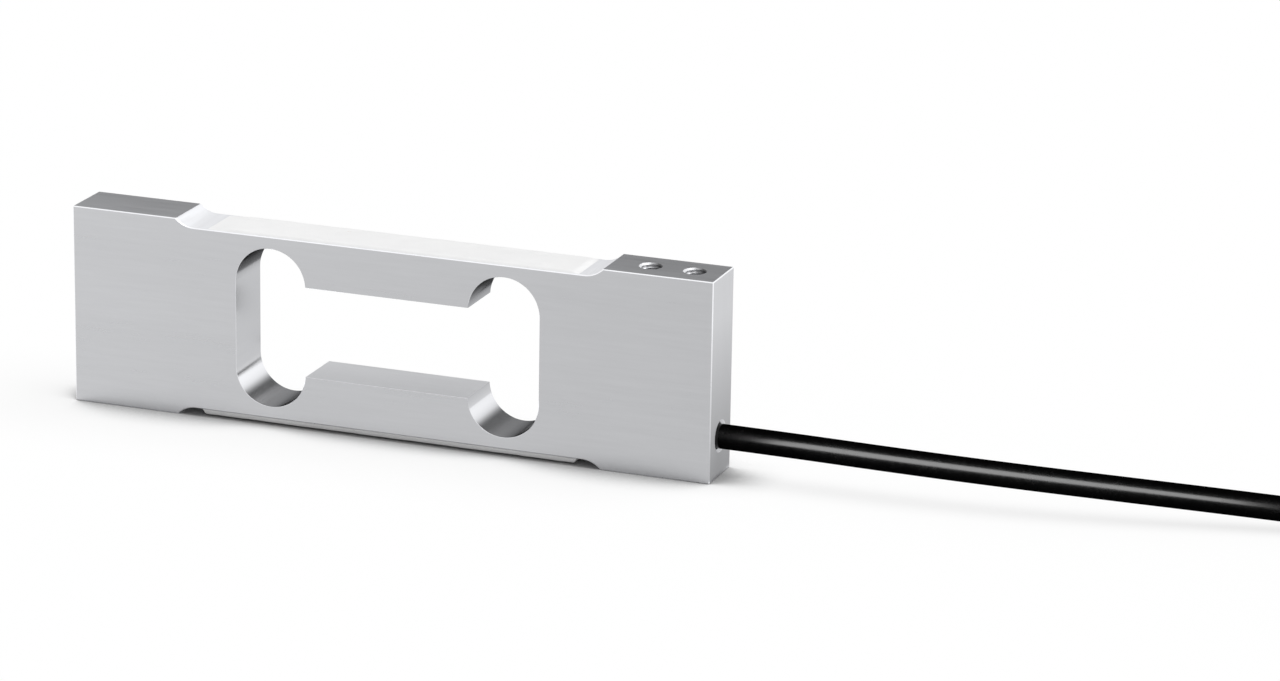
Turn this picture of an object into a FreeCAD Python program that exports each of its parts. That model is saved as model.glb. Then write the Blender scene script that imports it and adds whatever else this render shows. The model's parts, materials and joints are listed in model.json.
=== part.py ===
import FreeCAD, Part
import math
import os

# Single point load cell: a machined aluminium beam with a bone-shaped window, strain gauges over its
# four thin webs, and a black signal cable that leaves one end.
# Millimetres. X runs along the beam towards the cable, Y across it and Z up.
# The origin is the middle of the beam's underside.

Vector = FreeCAD.Vector

CORNER_SHARE = 0.45  # of the shorter run at a corner of a route, taken up by its arc

# Beam
BEAM_LENGTH = 150.0
BEAM_HEIGHT = 45.0
BEAM_WIDTH = 13.0
PAD_LENGTH = 25.0  # each mounting pad, along the beam
RELIEF_DEPTH = 1.8  # the recess between the pads, on top and below
RELIEF_CUTTER_RADIUS = 6.0  # the end mill that leaves the ramps
EDGE_CHAMFER = 0.3

# Window
LOBE_RADIUS = 8.3
LOBE_END_DISTANCE = 47.6  # from the beam's end to the middle of the nearer lobes
WEB_THICKNESS = 2.65  # between a lobe and the recess over it
SLOT_HEIGHT = 20.4
WINDOW_CHAMFER = 0.12

# Tapped holes, M5
TAP_DRILL_DIAMETER = 4.2
TAP_MOUTH_DIAMETER = 5.2
TAP_DEPTH = 14.0
DRILL_POINT_HALF_ANGLE = 59.0
TAP_SPACING = 10.0
TAP_END_DISTANCE = 6.5  # from the beam's end to the nearer hole

# Cable entry
CABLE_DIAMETER = 5.4
CABLE_HEIGHT = 9.0
CABLE_SEAL_GAP = 0.3  # sealant between the cable and its bore, all round
ENTRY_MOUTH_DIAMETER = 8.2
SHEATH_INSERTION = 18.0
BRAID_STEP_GAP = 1.5  # between the end of the braid's stub and the bore's step
RACEWAY_DIAMETER = 3.6
RACEWAY_FROM_LOBE = 4.8  # from the window's end wall to the raceway's axis

# Strain gauges
CARRIER_LENGTH = 9.0
CARRIER_WIDTH = 6.0
CARRIER_THICKNESS = 0.1
FOIL_THICKNESS = 0.05
GRID_LENGTH = 4.2
GRID_LINE = 0.3
GRID_LOOPS = 4
TAB_LENGTH = 1.2
TAB_WIDTH = 1.5

# Wiring
JUMPER_DIAMETER = 0.2
WIRE_LIFT = 0.02  # film of resin between a wire and the tab or pad it is soldered to
JUMPER_CLEARANCE = 0.05  # between the metal and a jumper that runs under it
JUMPER_BEND = 0.3
JUMPER_LANE = 3.4  # lane beside a gauge
JUMPER_LANE_STEP = 0.5
LANE_MERGE = 6.5  # from the raceway to where a long jumper leaves its lane, on top
LANE_SPREAD = 4.2  # and to where it joins one, below
CLEAR_OF_GAUGE = 1.5
RACEWAY_NEAR_OFFSET = 0.35
RACEWAY_FAR_OFFSET = 0.55
CORE_DIAMETER = 1.0
CORE_BEND = 1.0
CONDUCTOR_DIAMETER = 0.5
CORE_PITCH_ACROSS = 1.2
CORE_PITCH_UP = 1.5
CORE_LANES = (3.7, 4.9)
CORE_FAN = 0.93
STRIP_FROM_BOARD = 0.3
BRAID_RADIUS = 1.9
BRAID_WALL = 0.3
BRAID_LENGTH = 2.5
SOLDER_RADIUS = 0.27
CORE_SOLDER_RADIUS = 0.55

# Trim board
BOARD_LENGTH = 20.0
BOARD_WIDTH = 11.2
BOARD_THICKNESS = 0.5
BOARD_PAD_LENGTH = 1.4
BOARD_PAD_THICKNESS = 0.05
BOARD_JUMPER_LANES = (2.1, 2.8)
JUMPER_PAD_WIDTH = 0.45
CORE_PAD_WIDTH = 0.9
STEP_FROM_BOARD = 3.0
RESISTOR_LENGTH = 1.6
RESISTOR_WIDTH = 0.8
RESISTOR_HEIGHT = 0.4
RESISTOR_COUNT = 5

# Protective coats
TOP_COAT_THICKNESS = 0.5
LOWER_COAT_THICKNESS = 1.4
COAT_EDGE_GAP = 0.5  # bare metal left along the beam's long edges
COAT_END_GAP = 1.0
COAT_FEATHER = 0.35  # height of the sloping rim

# Cable in the open: distance beyond the end face, distance to the back, height of the centre line
CABLE_POINTS = [
    (12.0, 0.0, 9.0),
    (41.0, -0.4, 8.75),
    (66.0, 1.4, 8.1),
    (89.0, 5.2, 7.0),
    (109.0, 10.0, 5.55),
    (127.0, 14.1, 4.2),
]
COIL_X = 177.0  # coil centre beyond the end face
COIL_Y = -16.0
COIL_OUTER_TURN = 32.4  # centre line of the outermost turn
COIL_TURNS_ACROSS = 2
COIL_LAYERS = 2
COIL_ROUNDING_SHARE = 0.8  # of the cable's radius
COIL_ENTRY_STUB = 21.0  # straight cable that belongs to the coil's solid
COIL_ENTRY_RUN = 14.0
CLIMB_START = 95.0  # degrees, where the last stretch climbs onto the coil
TAIL_STEP = 30.0
TAIL_STEPS = 3
TAIL_STRAIGHT_SWEEP = 34.0  # degrees that the straight end spans, seen from the coil's axis
TAIL_LEAN_OUT = 1.5

# Far end
SLEEVE_WALL = 0.4
SLEEVE_OVERLAP = 9.0
SLEEVE_CAP = 3.0
LEAD_DIAMETER = 1.0
LEAD_COLOURS = ("red", "black", "shield", "green", "white")
LEAD_PITCH = 1.24
LEAD_SPREAD = 2.4  # how much further apart they are at their ends
LEAD_LIFT = 0.1
LEAD_STRAIGHT = 4.0
LEAD_STEP = 24.0  # degrees
LEAD_STEPS = 3
TIP_DIAMETER = 0.6
TIP_LENGTH = 6.0
TIE_WIDTH = 4.0
TIE_THICKNESS = 1.0
TIE_ANGLE = 15.0
TIE_HEAD = (6.5, 6.0, 4.4)  # along the cable, up, out
TIE_END_LENGTH = 5.0

# Derived places
HALF_LENGTH = BEAM_LENGTH / 2
HALF_WIDTH = BEAM_WIDTH / 2
TOP_FLAT = BEAM_HEIGHT - RELIEF_DEPTH
LOWER_FLAT = RELIEF_DEPTH
LOBE_X = HALF_LENGTH - LOBE_END_DISTANCE
LOBE_RISE = BEAM_HEIGHT / 2 - RELIEF_DEPTH - WEB_THICKNESS - LOBE_RADIUS
RAMP_REACH = math.sqrt(2 * RELIEF_CUTTER_RADIUS * RELIEF_DEPTH - RELIEF_DEPTH**2)
FLAT_HALF = HALF_LENGTH - PAD_LENGTH - RAMP_REACH
RACEWAY_X = LOBE_X + LOBE_RADIUS + RACEWAY_FROM_LOBE
BOARD_FACE = LOWER_FLAT - BOARD_THICKNESS
PAD_FACE = BOARD_FACE - BOARD_PAD_THICKNESS
PAD_X = BOARD_LENGTH / 2 - BOARD_PAD_LENGTH / 2
JUMPER_ON_PAD = PAD_FACE - WIRE_LIFT - JUMPER_DIAMETER / 2
CORE_ON_PAD = PAD_FACE - WIRE_LIFT - CONDUCTOR_DIAMETER / 2
JUMPER_UNDER_FLAT = LOWER_FLAT - JUMPER_CLEARANCE - JUMPER_DIAMETER / 2
CABLE_RADIUS = CABLE_DIAMETER / 2
ENTRY_RADIUS = CABLE_RADIUS + CABLE_SEAL_GAP
ENTRY_DEPTH = SHEATH_INSERTION + BRAID_LENGTH + BRAID_STEP_GAP
SHEATH_END_X = HALF_LENGTH - SHEATH_INSERTION
RING_OUTER = COIL_OUTER_TURN + CABLE_RADIUS
RING_INNER = COIL_OUTER_TURN - COIL_TURNS_ACROSS * CABLE_DIAMETER - CABLE_RADIUS
RING_MIDDLE = (RING_OUTER + RING_INNER) / 2
RING_HEIGHT = COIL_LAYERS * CABLE_DIAMETER
RING_ROUNDING = COIL_ROUNDING_SHARE * CABLE_RADIUS
TAIL_HEIGHT = RING_HEIGHT + CABLE_RADIUS + SLEEVE_WALL


def box(low, high):
    """A block between two corners."""
    size = high - low
    return Part.makeBox(size.x, size.y, size.z, low)


def rod(radius, start, end):
    """A round bar from one point to another."""
    return Part.makeCylinder(radius, (end - start).Length, start, end - start)


def polygon(points):
    """A closed outline through the points."""
    return Part.makePolygon([*points, points[0]])


def corner_radius(before, corner, after, largest):
    """The arc radius at a corner of a route."""
    incoming = corner - before
    outgoing = after - corner
    half_turn = incoming.getAngle(outgoing) / 2
    reach = CORNER_SHARE * min(incoming.Length, outgoing.Length)
    return min(reach / math.tan(half_turn), largest)


def route(points, largest=math.inf):
    """A wire of straight runs joined by tangent arcs, and the arcs' radii."""
    edges = []
    radii = []
    start = points[0]
    for before, corner, after in zip(points, points[1:], points[2:]):
        incoming = (corner - before).normalize()
        outgoing = (after - corner).normalize()
        radius = corner_radius(before, corner, after, largest)
        half_turn = incoming.getAngle(outgoing) / 2
        reach = radius * math.tan(half_turn)
        enter = corner - incoming * reach
        leave = corner + outgoing * reach
        inward = (outgoing - incoming).normalize()
        middle = corner + inward * (radius / math.cos(half_turn) - radius)
        if (enter - start).Length > 1e-6:
            edges.append(Part.LineSegment(start, enter).toShape())
        edges.append(Part.Arc(enter, middle, leave).toShape())
        radii.append(radius)
        start = leave
    edges.append(Part.LineSegment(start, points[-1]).toShape())
    return Part.Wire(edges), radii


def tube(points, radius, largest=math.inf):
    """A round bar that follows a route."""
    path, _ = route(points, largest)
    direction = points[1] - points[0]
    section = Part.Wire(Part.makeCircle(radius, points[0], direction))
    return path.makePipeShell([section], True, True)


# Beam


def beam_outline():
    """The beam's side profile: pads at both ends, recesses with round ramps between them."""
    pad = HALF_LENGTH - PAD_LENGTH
    middle_share = math.acos(1 - RELIEF_DEPTH / RELIEF_CUTTER_RADIUS) / 2
    mid_reach = RELIEF_CUTTER_RADIUS * math.sin(middle_share)
    mid_rise = RELIEF_CUTTER_RADIUS * (1 - math.cos(middle_share))
    edges = []
    for up, flat in ((1, TOP_FLAT), (-1, LOWER_FLAT)):
        face = BEAM_HEIGHT if up > 0 else 0.0
        for side in (-1, 1):
            end = Vector(side * HALF_LENGTH, 0, face)
            crest = Vector(side * pad, 0, face)
            middle = Vector(side * (FLAT_HALF + mid_reach), 0, flat + up * mid_rise)
            foot = Vector(side * FLAT_HALF, 0, flat)
            edges.append(Part.LineSegment(end, crest).toShape())
            edges.append(Part.Arc(crest, middle, foot).toShape())
        edges.append(Part.LineSegment(Vector(-FLAT_HALF, 0, flat), Vector(FLAT_HALF, 0, flat)).toShape())
    for side in (-1, 1):
        low = Vector(side * HALF_LENGTH, 0, 0)
        edges.append(Part.LineSegment(low, low + Vector(0, 0, BEAM_HEIGHT)).toShape())
    return Part.Wire(Part.__sortEdges__(edges))


def window_outline():
    """The window's outline: four lobes, flat end walls, and a straight slot between the lobes."""
    middle = BEAM_HEIGHT / 2
    half_slot = SLOT_HEIGHT / 2
    corner_x = LOBE_X - math.sqrt(LOBE_RADIUS**2 - (half_slot - LOBE_RISE) ** 2)
    wall_x = LOBE_X + LOBE_RADIUS
    edges = []
    for side in (-1, 1):
        for up in (-1, 1):
            corner = Vector(side * corner_x, 0, middle + up * half_slot)
            crown = Vector(side * LOBE_X, 0, middle + up * (LOBE_RISE + LOBE_RADIUS))
            wall = Vector(side * wall_x, 0, middle + up * LOBE_RISE)
            edges.append(Part.Arc(corner, crown, wall).toShape())
        low = Vector(side * wall_x, 0, middle - LOBE_RISE)
        high = Vector(side * wall_x, 0, middle + LOBE_RISE)
        edges.append(Part.LineSegment(low, high).toShape())
    for up in (-1, 1):
        left = Vector(-corner_x, 0, middle + up * half_slot)
        edges.append(Part.LineSegment(left, Vector(corner_x, 0, left.z)).toShape())
    return Part.Wire(Part.__sortEdges__(edges))


def across_beam(outline):
    """A prism of the outline over the beam's full width."""
    outline = outline.copy()
    outline.translate(Vector(0, -HALF_WIDTH, 0))
    return Part.Face(outline).extrude(Vector(0, BEAM_WIDTH, 0))


def tapped_hole(x, face, up):
    """The cut of one tapped hole: tap drill, drill point and countersunk mouth."""
    inward = Vector(0, 0, -up)
    mouth = Vector(x, 0, face)
    drill = TAP_DRILL_DIAMETER / 2
    mouth_radius = TAP_MOUTH_DIAMETER / 2
    sink = mouth_radius - drill
    shaft = Part.makeCylinder(drill, TAP_DEPTH, mouth, inward)
    point_length = drill / math.tan(math.radians(DRILL_POINT_HALF_ANGLE))
    point = Part.makeCone(drill, 0, point_length, mouth + inward * TAP_DEPTH, inward)
    countersink = Part.makeCone(mouth_radius, drill, sink, mouth, inward)
    return shaft.fuse([point, countersink])


def tapped_hole_places():
    """Where the tapped holes are: on top at the cable end and below at the other end."""
    near = HALF_LENGTH - TAP_END_DISTANCE
    rows = []
    for side, face, up in ((1, BEAM_HEIGHT, 1), (-1, 0.0, -1)):
        rows += [(side * near, face, up), (side * (near - TAP_SPACING), face, up)]
    return rows


def wiring_cuts():
    """The cable's bore with its countersink, the passage behind it and the upright raceway."""
    end = Vector(HALF_LENGTH, 0, CABLE_HEIGHT)
    inward = Vector(-1, 0, 0)
    mouth_radius = ENTRY_MOUTH_DIAMETER / 2
    bore = Part.makeCylinder(ENTRY_RADIUS, ENTRY_DEPTH, end, inward)
    sink = Part.makeCone(mouth_radius, ENTRY_RADIUS, mouth_radius - ENTRY_RADIUS, end, inward)
    passage = rod(RACEWAY_DIAMETER / 2, end + inward * ENTRY_DEPTH, Vector(RACEWAY_X, 0, CABLE_HEIGHT))
    raceway = rod(RACEWAY_DIAMETER / 2, Vector(RACEWAY_X, 0, 0), Vector(RACEWAY_X, 0, BEAM_HEIGHT))
    return [bore, sink, passage, raceway]


def lies_across(edge, y):
    """True for an edge that lies in the side face at this Y."""
    return all(abs(vertex.Y - y) < 1e-6 for vertex in edge.Vertexes)


def is_end_edge(edge):
    """True for an edge that runs across the beam at one of its four outer corners."""
    at_end = all(abs(abs(vertex.X) - HALF_LENGTH) < 1e-6 for vertex in edge.Vertexes)
    level = all(vertex.Z < 1e-6 or vertex.Z > BEAM_HEIGHT - 1e-6 for vertex in edge.Vertexes)
    return at_end and level and abs(edge.Vertexes[0].Y - edge.Vertexes[-1].Y) > 1e-6


def beam():
    """The machined beam, one solid."""
    block = across_beam(beam_outline())
    rims = [e for e in block.Edges if lies_across(e, -HALF_WIDTH) or lies_across(e, HALF_WIDTH)]
    corners = [e for e in block.Edges if is_end_edge(e)]
    block = block.makeChamfer(EDGE_CHAMFER, rims + corners)
    window = across_beam(window_outline())
    holes = [tapped_hole(x, face, up) for x, face, up in tapped_hole_places()]
    block = block.cut([window, *holes, *wiring_cuts()])
    clear = BEAM_WIDTH + 1
    keep_x = LOBE_X + LOBE_RADIUS + EDGE_CHAMFER
    keep_z = LOBE_RISE + LOBE_RADIUS + EDGE_CHAMFER
    zone = box(
        Vector(-keep_x, -clear, BEAM_HEIGHT / 2 - keep_z),
        Vector(keep_x, clear, BEAM_HEIGHT / 2 + keep_z),
    )
    lips = [
        e
        for e in block.Edges
        if (lies_across(e, -HALF_WIDTH) or lies_across(e, HALF_WIDTH))
        and zone.BoundBox.isInside(e.BoundBox)
    ]
    return block.makeChamfer(WINDOW_CHAMFER, lips)


# Strain gauges


def gauge_flat(up):
    """The height of the recess a gauge is bonded to, and the direction away from the metal."""
    return (TOP_FLAT, 1) if up > 0 else (LOWER_FLAT, -1)


def layer(low_x, high_x, low_y, high_y, near, far):
    """A thin block between two heights given in either order."""
    return box(Vector(low_x, low_y, min(near, far)), Vector(high_x, high_y, max(near, far)))


def gauge_carrier(x, up):
    """The polyimide film under one gauge."""
    flat, out = gauge_flat(up)
    half_length = CARRIER_LENGTH / 2
    half_width = CARRIER_WIDTH / 2
    near, far = flat, flat + out * CARRIER_THICKNESS
    return layer(x - half_length, x + half_length, -half_width, half_width, near, far)


def gauge_lines():
    """The heights across the beam of a foil's parallel lines."""
    pitch = 2 * GRID_LINE
    count = 2 * GRID_LOOPS
    return [pitch * (index - (count - 1) / 2) for index in range(count)]


def tab_offset():
    """How far the middle of a solder tab is from a gauge's centre line."""
    return gauge_lines()[-1] + GRID_LINE / 2 - TAB_WIDTH / 2


def tab_place(x, tab_side):
    """Where a gauge's solder tabs are along the beam."""
    return x + tab_side * (CARRIER_LENGTH / 2 - TAB_LENGTH / 2 - GRID_LINE)


def gauge_foil(x, up, tab_side):
    """The etched foil of one gauge: a grid of parallel lines joined in turn, and two solder tabs."""
    flat, out = gauge_flat(up)
    near = flat + out * CARRIER_THICKNESS
    far = near + out * FOIL_THICKNESS
    left, right = x - GRID_LENGTH / 2, x + GRID_LENGTH / 2
    half_line = GRID_LINE / 2
    lines = gauge_lines()
    shapes = [layer(left, right, y - half_line, y + half_line, near, far) for y in lines]
    for index, (y, following) in enumerate(zip(lines, lines[1:])):
        away_from_tabs = index % 2 == 0
        at_left = away_from_tabs == (tab_side > 0)
        end = left if at_left else right - GRID_LINE
        shapes.append(layer(end, end + GRID_LINE, y, following, near, far))
    tab_x = tab_place(x, tab_side)
    half_tab = TAB_LENGTH / 2
    for side in (-1, 1):
        middle = side * tab_offset()
        low, high = middle - TAB_WIDTH / 2, middle + TAB_WIDTH / 2
        shapes.append(layer(tab_x - half_tab, tab_x + half_tab, low, high, near, far))
        line = side * lines[-1]
        link = sorted((x + tab_side * GRID_LENGTH / 2, tab_x))
        shapes.append(layer(*link, line - half_line, line + half_line, near, far))
    return shapes[0].fuse(shapes[1:]).removeSplitter()


def jumper_height(up):
    """The centre height of a jumper wire that lies on the foil."""
    flat, out = gauge_flat(up)
    return flat + out * (CARRIER_THICKNESS + FOIL_THICKNESS + WIRE_LIFT + JUMPER_DIAMETER / 2)


def board_steps(side, lane_x, lane, before, after):
    """The end of a jumper's route: in from its lane, down past the board's edge and onto its pad."""
    edge = BOARD_LENGTH / 2
    return [
        Vector(side * lane_x, lane, before),
        Vector(side * (edge + STEP_FROM_BOARD), after, before),
        Vector(side * (edge + STEP_FROM_BOARD / 3), after, JUMPER_ON_PAD),
        Vector(side * PAD_X, after, JUMPER_ON_PAD),
    ]


def lower_gauge_wires(side):
    """The two jumpers of a lower gauge, from its tabs straight to the trim board."""
    wires = []
    for across in (-1, 1):
        lane = across * tab_offset()
        start = Vector(tab_place(side * LOBE_X, -side), lane, jumper_height(-1))
        steps = board_steps(side, 0, lane, start.z, lane)[1:]
        wires.append(tube([start, *steps], JUMPER_DIAMETER / 2, JUMPER_BEND))
    return wires


def upper_gauge_wires(side):
    """The two jumpers of an upper gauge: along the top, down the raceway and along below to the board."""
    far = side < 0
    down_x = RACEWAY_X + (RACEWAY_FAR_OFFSET if far else -RACEWAY_NEAR_OFFSET)
    lane = JUMPER_LANE + (JUMPER_LANE_STEP if far else 0)
    pad_lane = BOARD_JUMPER_LANES[1 if far else 0]
    top = jumper_height(1)
    low = JUMPER_UNDER_FLAT
    past_gauge = LOBE_X - CARRIER_LENGTH / 2 - CLEAR_OF_GAUGE
    wires = []
    for across in (-1, 1):
        points = [Vector(tab_place(side * LOBE_X, 1), across * tab_offset(), top)]
        if far:
            points.append(Vector(-LOBE_X / 2, across * JUMPER_LANE, top))
            points.append(Vector(RACEWAY_X - LANE_MERGE, across * JUMPER_LANE, top))
        points.append(Vector(down_x, across * tab_offset(), top))
        points.append(Vector(down_x, across * tab_offset(), low))
        points.append(Vector(RACEWAY_X - LANE_SPREAD, across * lane, low))
        points += board_steps(1, past_gauge, across * lane, low, across * pad_lane)
        wires.append(tube(points, JUMPER_DIAMETER / 2, JUMPER_BEND))
    return wires


def core_places():
    """Side and level of each of the cable's four cores inside the bore."""
    return {"red": (1, 1), "black": (-1, 1), "green": (1, -1), "white": (-1, -1)}


def inner_core_points(across, level):
    """A core's route from the cut sheath through the passage and the raceway to its pad."""
    y = across * CORE_PITCH_ACROSS / 2
    z = CABLE_HEIGHT + level * CORE_PITCH_UP / 2
    down_x = RACEWAY_X - level * CORE_PITCH_UP / 2
    lane = CORE_LANES[0] if level > 0 else CORE_LANES[1]
    fan = (lane - abs(y)) * CORE_FAN
    return [
        Vector(SHEATH_END_X, y, z),
        Vector(down_x, y, z),
        Vector(down_x, y, CORE_ON_PAD),
        Vector(down_x - fan, across * lane, CORE_ON_PAD),
        Vector(BOARD_LENGTH / 2 + STRIP_FROM_BOARD, across * lane, CORE_ON_PAD),
    ]


def inner_core(across, level):
    """One insulated core inside the beam."""
    return tube(inner_core_points(across, level), CORE_DIAMETER / 2, CORE_BEND)


def inner_core_tips():
    """The bare tinned ends of the cores on the trim board."""
    tips = []
    for across, level in core_places().values():
        start = inner_core_points(across, level)[-1]
        end = Vector(PAD_X - BOARD_PAD_LENGTH / 3, start.y, start.z)
        tips.append(rod(CONDUCTOR_DIAMETER / 2, start, end))
    return tips


def pad_rows():
    """Each pad of the trim board: its side along the beam, its lane and its width."""
    rows = []
    for across in (-1, 1):
        rows += [(side, across * tab_offset(), JUMPER_PAD_WIDTH) for side in (-1, 1)]
        rows += [(1, across * lane, JUMPER_PAD_WIDTH) for lane in BOARD_JUMPER_LANES]
        rows += [(1, across * lane, CORE_PAD_WIDTH) for lane in CORE_LANES]
    return rows


def trim_board():
    """The board that carries the trim resistors and the solder pads."""
    half_length, half_width = BOARD_LENGTH / 2, BOARD_WIDTH / 2
    return layer(-half_length, half_length, -half_width, half_width, LOWER_FLAT, BOARD_FACE)


def board_pads():
    """The copper pads along the two short edges of the trim board."""
    half = BOARD_PAD_LENGTH / 2
    return [
        layer(
            side * PAD_X - half,
            side * PAD_X + half,
            lane - width / 2,
            lane + width / 2,
            BOARD_FACE,
            PAD_FACE,
        )
        for side, lane, width in pad_rows()
    ]


def trim_resistors():
    """The row of chip resistors that balance the bridge."""
    step = (BOARD_LENGTH - 4 * BOARD_PAD_LENGTH) / RESISTOR_COUNT
    first = -step * (RESISTOR_COUNT - 1) / 2
    far = BOARD_FACE - RESISTOR_HEIGHT
    half_width, half_length = RESISTOR_WIDTH / 2, RESISTOR_LENGTH / 2
    places = [first + step * index for index in range(RESISTOR_COUNT)]
    return [
        layer(x - half_width, x + half_width, -half_length, half_length, BOARD_FACE, far)
        for x in places
    ]


def solder_dome(radius, centre, out):
    """A bead of solder on a pad or tab: half a ball that stands out of it."""
    return Part.makeSphere(radius, centre, Vector(0, 0, out), 0, 90, 360)


def tab_solder(wires):
    """The beads that hold the jumpers to the gauges' tabs."""
    beads = []
    for up in (1, -1):
        flat, out = gauge_flat(up)
        face = flat + out * (CARRIER_THICKNESS + FOIL_THICKNESS)
        for side in (-1, 1):
            tab_side = 1 if up > 0 else -side
            for across in (-1, 1):
                centre = Vector(tab_place(side * LOBE_X, tab_side), across * tab_offset(), face)
                beads.append(solder_dome(SOLDER_RADIUS, centre, out).cut(wires))
    return beads


def board_solder(wires):
    """The beads that hold the jumpers and the cores to the trim board."""
    beads = []
    for side, lane, width in pad_rows():
        radius = CORE_SOLDER_RADIUS if width > JUMPER_PAD_WIDTH else SOLDER_RADIUS
        bead = solder_dome(radius, Vector(side * PAD_X, lane, PAD_FACE), -1)
        beads.append(bead.cut(wires))
    return beads


def coat(up, thickness, contents):
    """A silicone coat over one recess, with a sloping rim, moulded round what lies under it."""
    flat, out = gauge_flat(up)
    half_length = FLAT_HALF - COAT_END_GAP
    half_width = HALF_WIDTH - COAT_EDGE_GAP
    far = flat + out * thickness
    block = layer(-half_length, half_length, -half_width, half_width, flat, far)
    rim = [e for e in block.Edges if all(abs(v.Z - far) < 1e-6 for v in e.Vertexes)]
    return block.makeChamfer(COAT_FEATHER, rim).cut(contents)


# Cable


def sheath_route():
    """The sheath's route, from its cut end inside the bore to the coil."""
    points = [Vector(SHEATH_END_X, 0, CABLE_HEIGHT)]
    points += [Vector(HALF_LENGTH + x, y, z) for x, y, z in CABLE_POINTS]
    points.append(coil_entry() - Vector(COIL_ENTRY_RUN + COIL_ENTRY_STUB, 0, 0))
    points.append(coil_entry() - Vector(COIL_ENTRY_STUB, 0, 0))
    return points


def polar(radius, degrees, z):
    """A point on the coil, by its distance and direction from the coil's axis."""
    angle = math.radians(degrees)
    centre_x = HALF_LENGTH + COIL_X
    return Vector(centre_x + radius * math.cos(angle), COIL_Y + radius * math.sin(angle), z)


def coil_entry():
    """Where the cable's centre line meets the outermost turn."""
    return polar(COIL_OUTER_TURN, 90, CABLE_RADIUS)


def tail_route():
    """The last stretch of cable: it climbs out of the coil and lies on top of it, straight at its end."""
    points = [polar(RING_MIDDLE, CLIMB_START, RING_HEIGHT - CABLE_RADIUS)]
    angle = CLIMB_START - TAIL_STEP
    points.append(polar(RING_MIDDLE, angle, (points[0].z + TAIL_HEIGHT) / 2))
    for _ in range(TAIL_STEPS):
        angle -= TAIL_STEP
        points.append(polar(RING_MIDDLE, angle, TAIL_HEIGHT))
    points.append(polar(RING_MIDDLE + TAIL_LEAN_OUT, angle - TAIL_STRAIGHT_SWEEP, TAIL_HEIGHT))
    return points


def cable_coil(tie):
    """The coiled cable: a ring of its outer shape, the straight cable into it and the tail on top."""
    centre = polar(0, 0, 0)
    ring = Part.makeCylinder(RING_OUTER, RING_HEIGHT, centre)
    ring = ring.cut(Part.makeCylinder(RING_INNER, RING_HEIGHT, centre))
    rims = [e for e in ring.Edges if isinstance(e.Curve, Part.Circle)]
    ring = ring.makeFillet(RING_ROUNDING, rims)
    stub = rod(CABLE_RADIUS, coil_entry() - Vector(COIL_ENTRY_STUB, 0, 0), coil_entry())
    tail = tube(tail_route(), CABLE_RADIUS)
    return ring.fuse([stub, tail]).cut(tie)


def in_tie_frame(shape):
    """Moves a shape drawn along the radius onto the coil, at the tie's direction."""
    shape.rotate(Vector(0, 0, 0), Vector(0, 0, 1), TIE_ANGLE)
    shape.translate(polar(0, 0, 0))
    return shape


def coil_tie():
    """The tie round the coil and its tail, with its head on the coil's outer side."""
    top = TAIL_HEIGHT + CABLE_RADIUS
    corners = [
        (RING_INNER, TIE_THICKNESS),
        (RING_OUTER, TIE_THICKNESS),
        (RING_OUTER, RING_HEIGHT),
        (RING_MIDDLE + RING_ROUNDING, top),
        (RING_MIDDLE - RING_ROUNDING, top),
        (RING_INNER, RING_HEIGHT),
    ]
    outline = polygon([Vector(u, -TIE_WIDTH / 2, z) for u, z in corners])
    outer = outline.makeOffset2D(TIE_THICKNESS, 0)
    along = Vector(0, TIE_WIDTH, 0)
    band = Part.Face(outer).extrude(along).cut(Part.Face(outline).extrude(along))
    head_width, head_height, head_depth = TIE_HEAD
    outside = RING_OUTER + TIE_THICKNESS
    low = Vector(outside, -head_width / 2, RING_HEIGHT / 2 - head_height / 2)
    head = box(low, low + Vector(head_depth, head_width, head_height))
    end_low = Vector(outside + TIE_THICKNESS, -TIE_WIDTH / 2, low.z + head_height)
    end = box(end_low, end_low + Vector(TIE_THICKNESS, TIE_WIDTH, TIE_END_LENGTH))
    return in_tie_frame(band.fuse([head, end]).removeSplitter())


def tail_end():
    """The end of the sheath on the coil, and the direction in which it points."""
    before, end = tail_route()[-2:]
    return end, (end - before).normalize()


def end_sleeve():
    """The heat-shrink sleeve over the end of the sheath, closed round the leads."""
    end, direction = tail_end()
    start = end - direction * SLEEVE_OVERLAP
    cap = end + direction * SLEEVE_CAP
    outer = rod(CABLE_RADIUS + SLEEVE_WALL, start, cap)
    rim = [e for e in outer.Edges if (e.BoundBox.Center - cap).Length < 1e-3]
    return outer.makeFillet(SLEEVE_WALL, rim).cut(rod(CABLE_RADIUS, start, end))


def lead_points(index):
    """A lead's route: out of the sleeve, down onto the coil and along it in a lane of its own."""
    end, direction = tail_end()
    face = end + direction * SLEEVE_CAP
    sideways = Vector(-direction.y, direction.x, 0)
    lane = (index - (len(LEAD_COLOURS) - 1) / 2) * LEAD_PITCH
    centre = polar(0, 0, 0)
    angle = math.degrees(math.atan2(face.y - centre.y, face.x - centre.x))
    height = RING_HEIGHT + LEAD_DIAMETER / 2 + LEAD_LIFT
    turn = direction.getAngle(polar(RING_MIDDLE, angle - LEAD_STEP, face.z) - face)
    straight = LEAD_STRAIGHT + lane * math.tan(turn / 2)
    start = face + sideways * lane
    points = [start, start + direction * straight]
    for step in range(1, LEAD_STEPS + 1):
        spread = 1 + (LEAD_SPREAD - 1) * step / LEAD_STEPS
        points.append(polar(RING_MIDDLE + lane * spread, angle - LEAD_STEP * step, height))
    return points


def lead(index):
    """One insulated lead at the cable's free end."""
    return tube(lead_points(index), LEAD_DIAMETER / 2)


def lead_tips():
    """The bare tinned ends of the leads."""
    tips = []
    for index in range(len(LEAD_COLOURS)):
        before, end = lead_points(index)[-2:]
        direction = (end - before).normalize()
        tips.append(rod(TIP_DIAMETER / 2, end, end + direction * TIP_LENGTH))
    return tips


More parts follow.
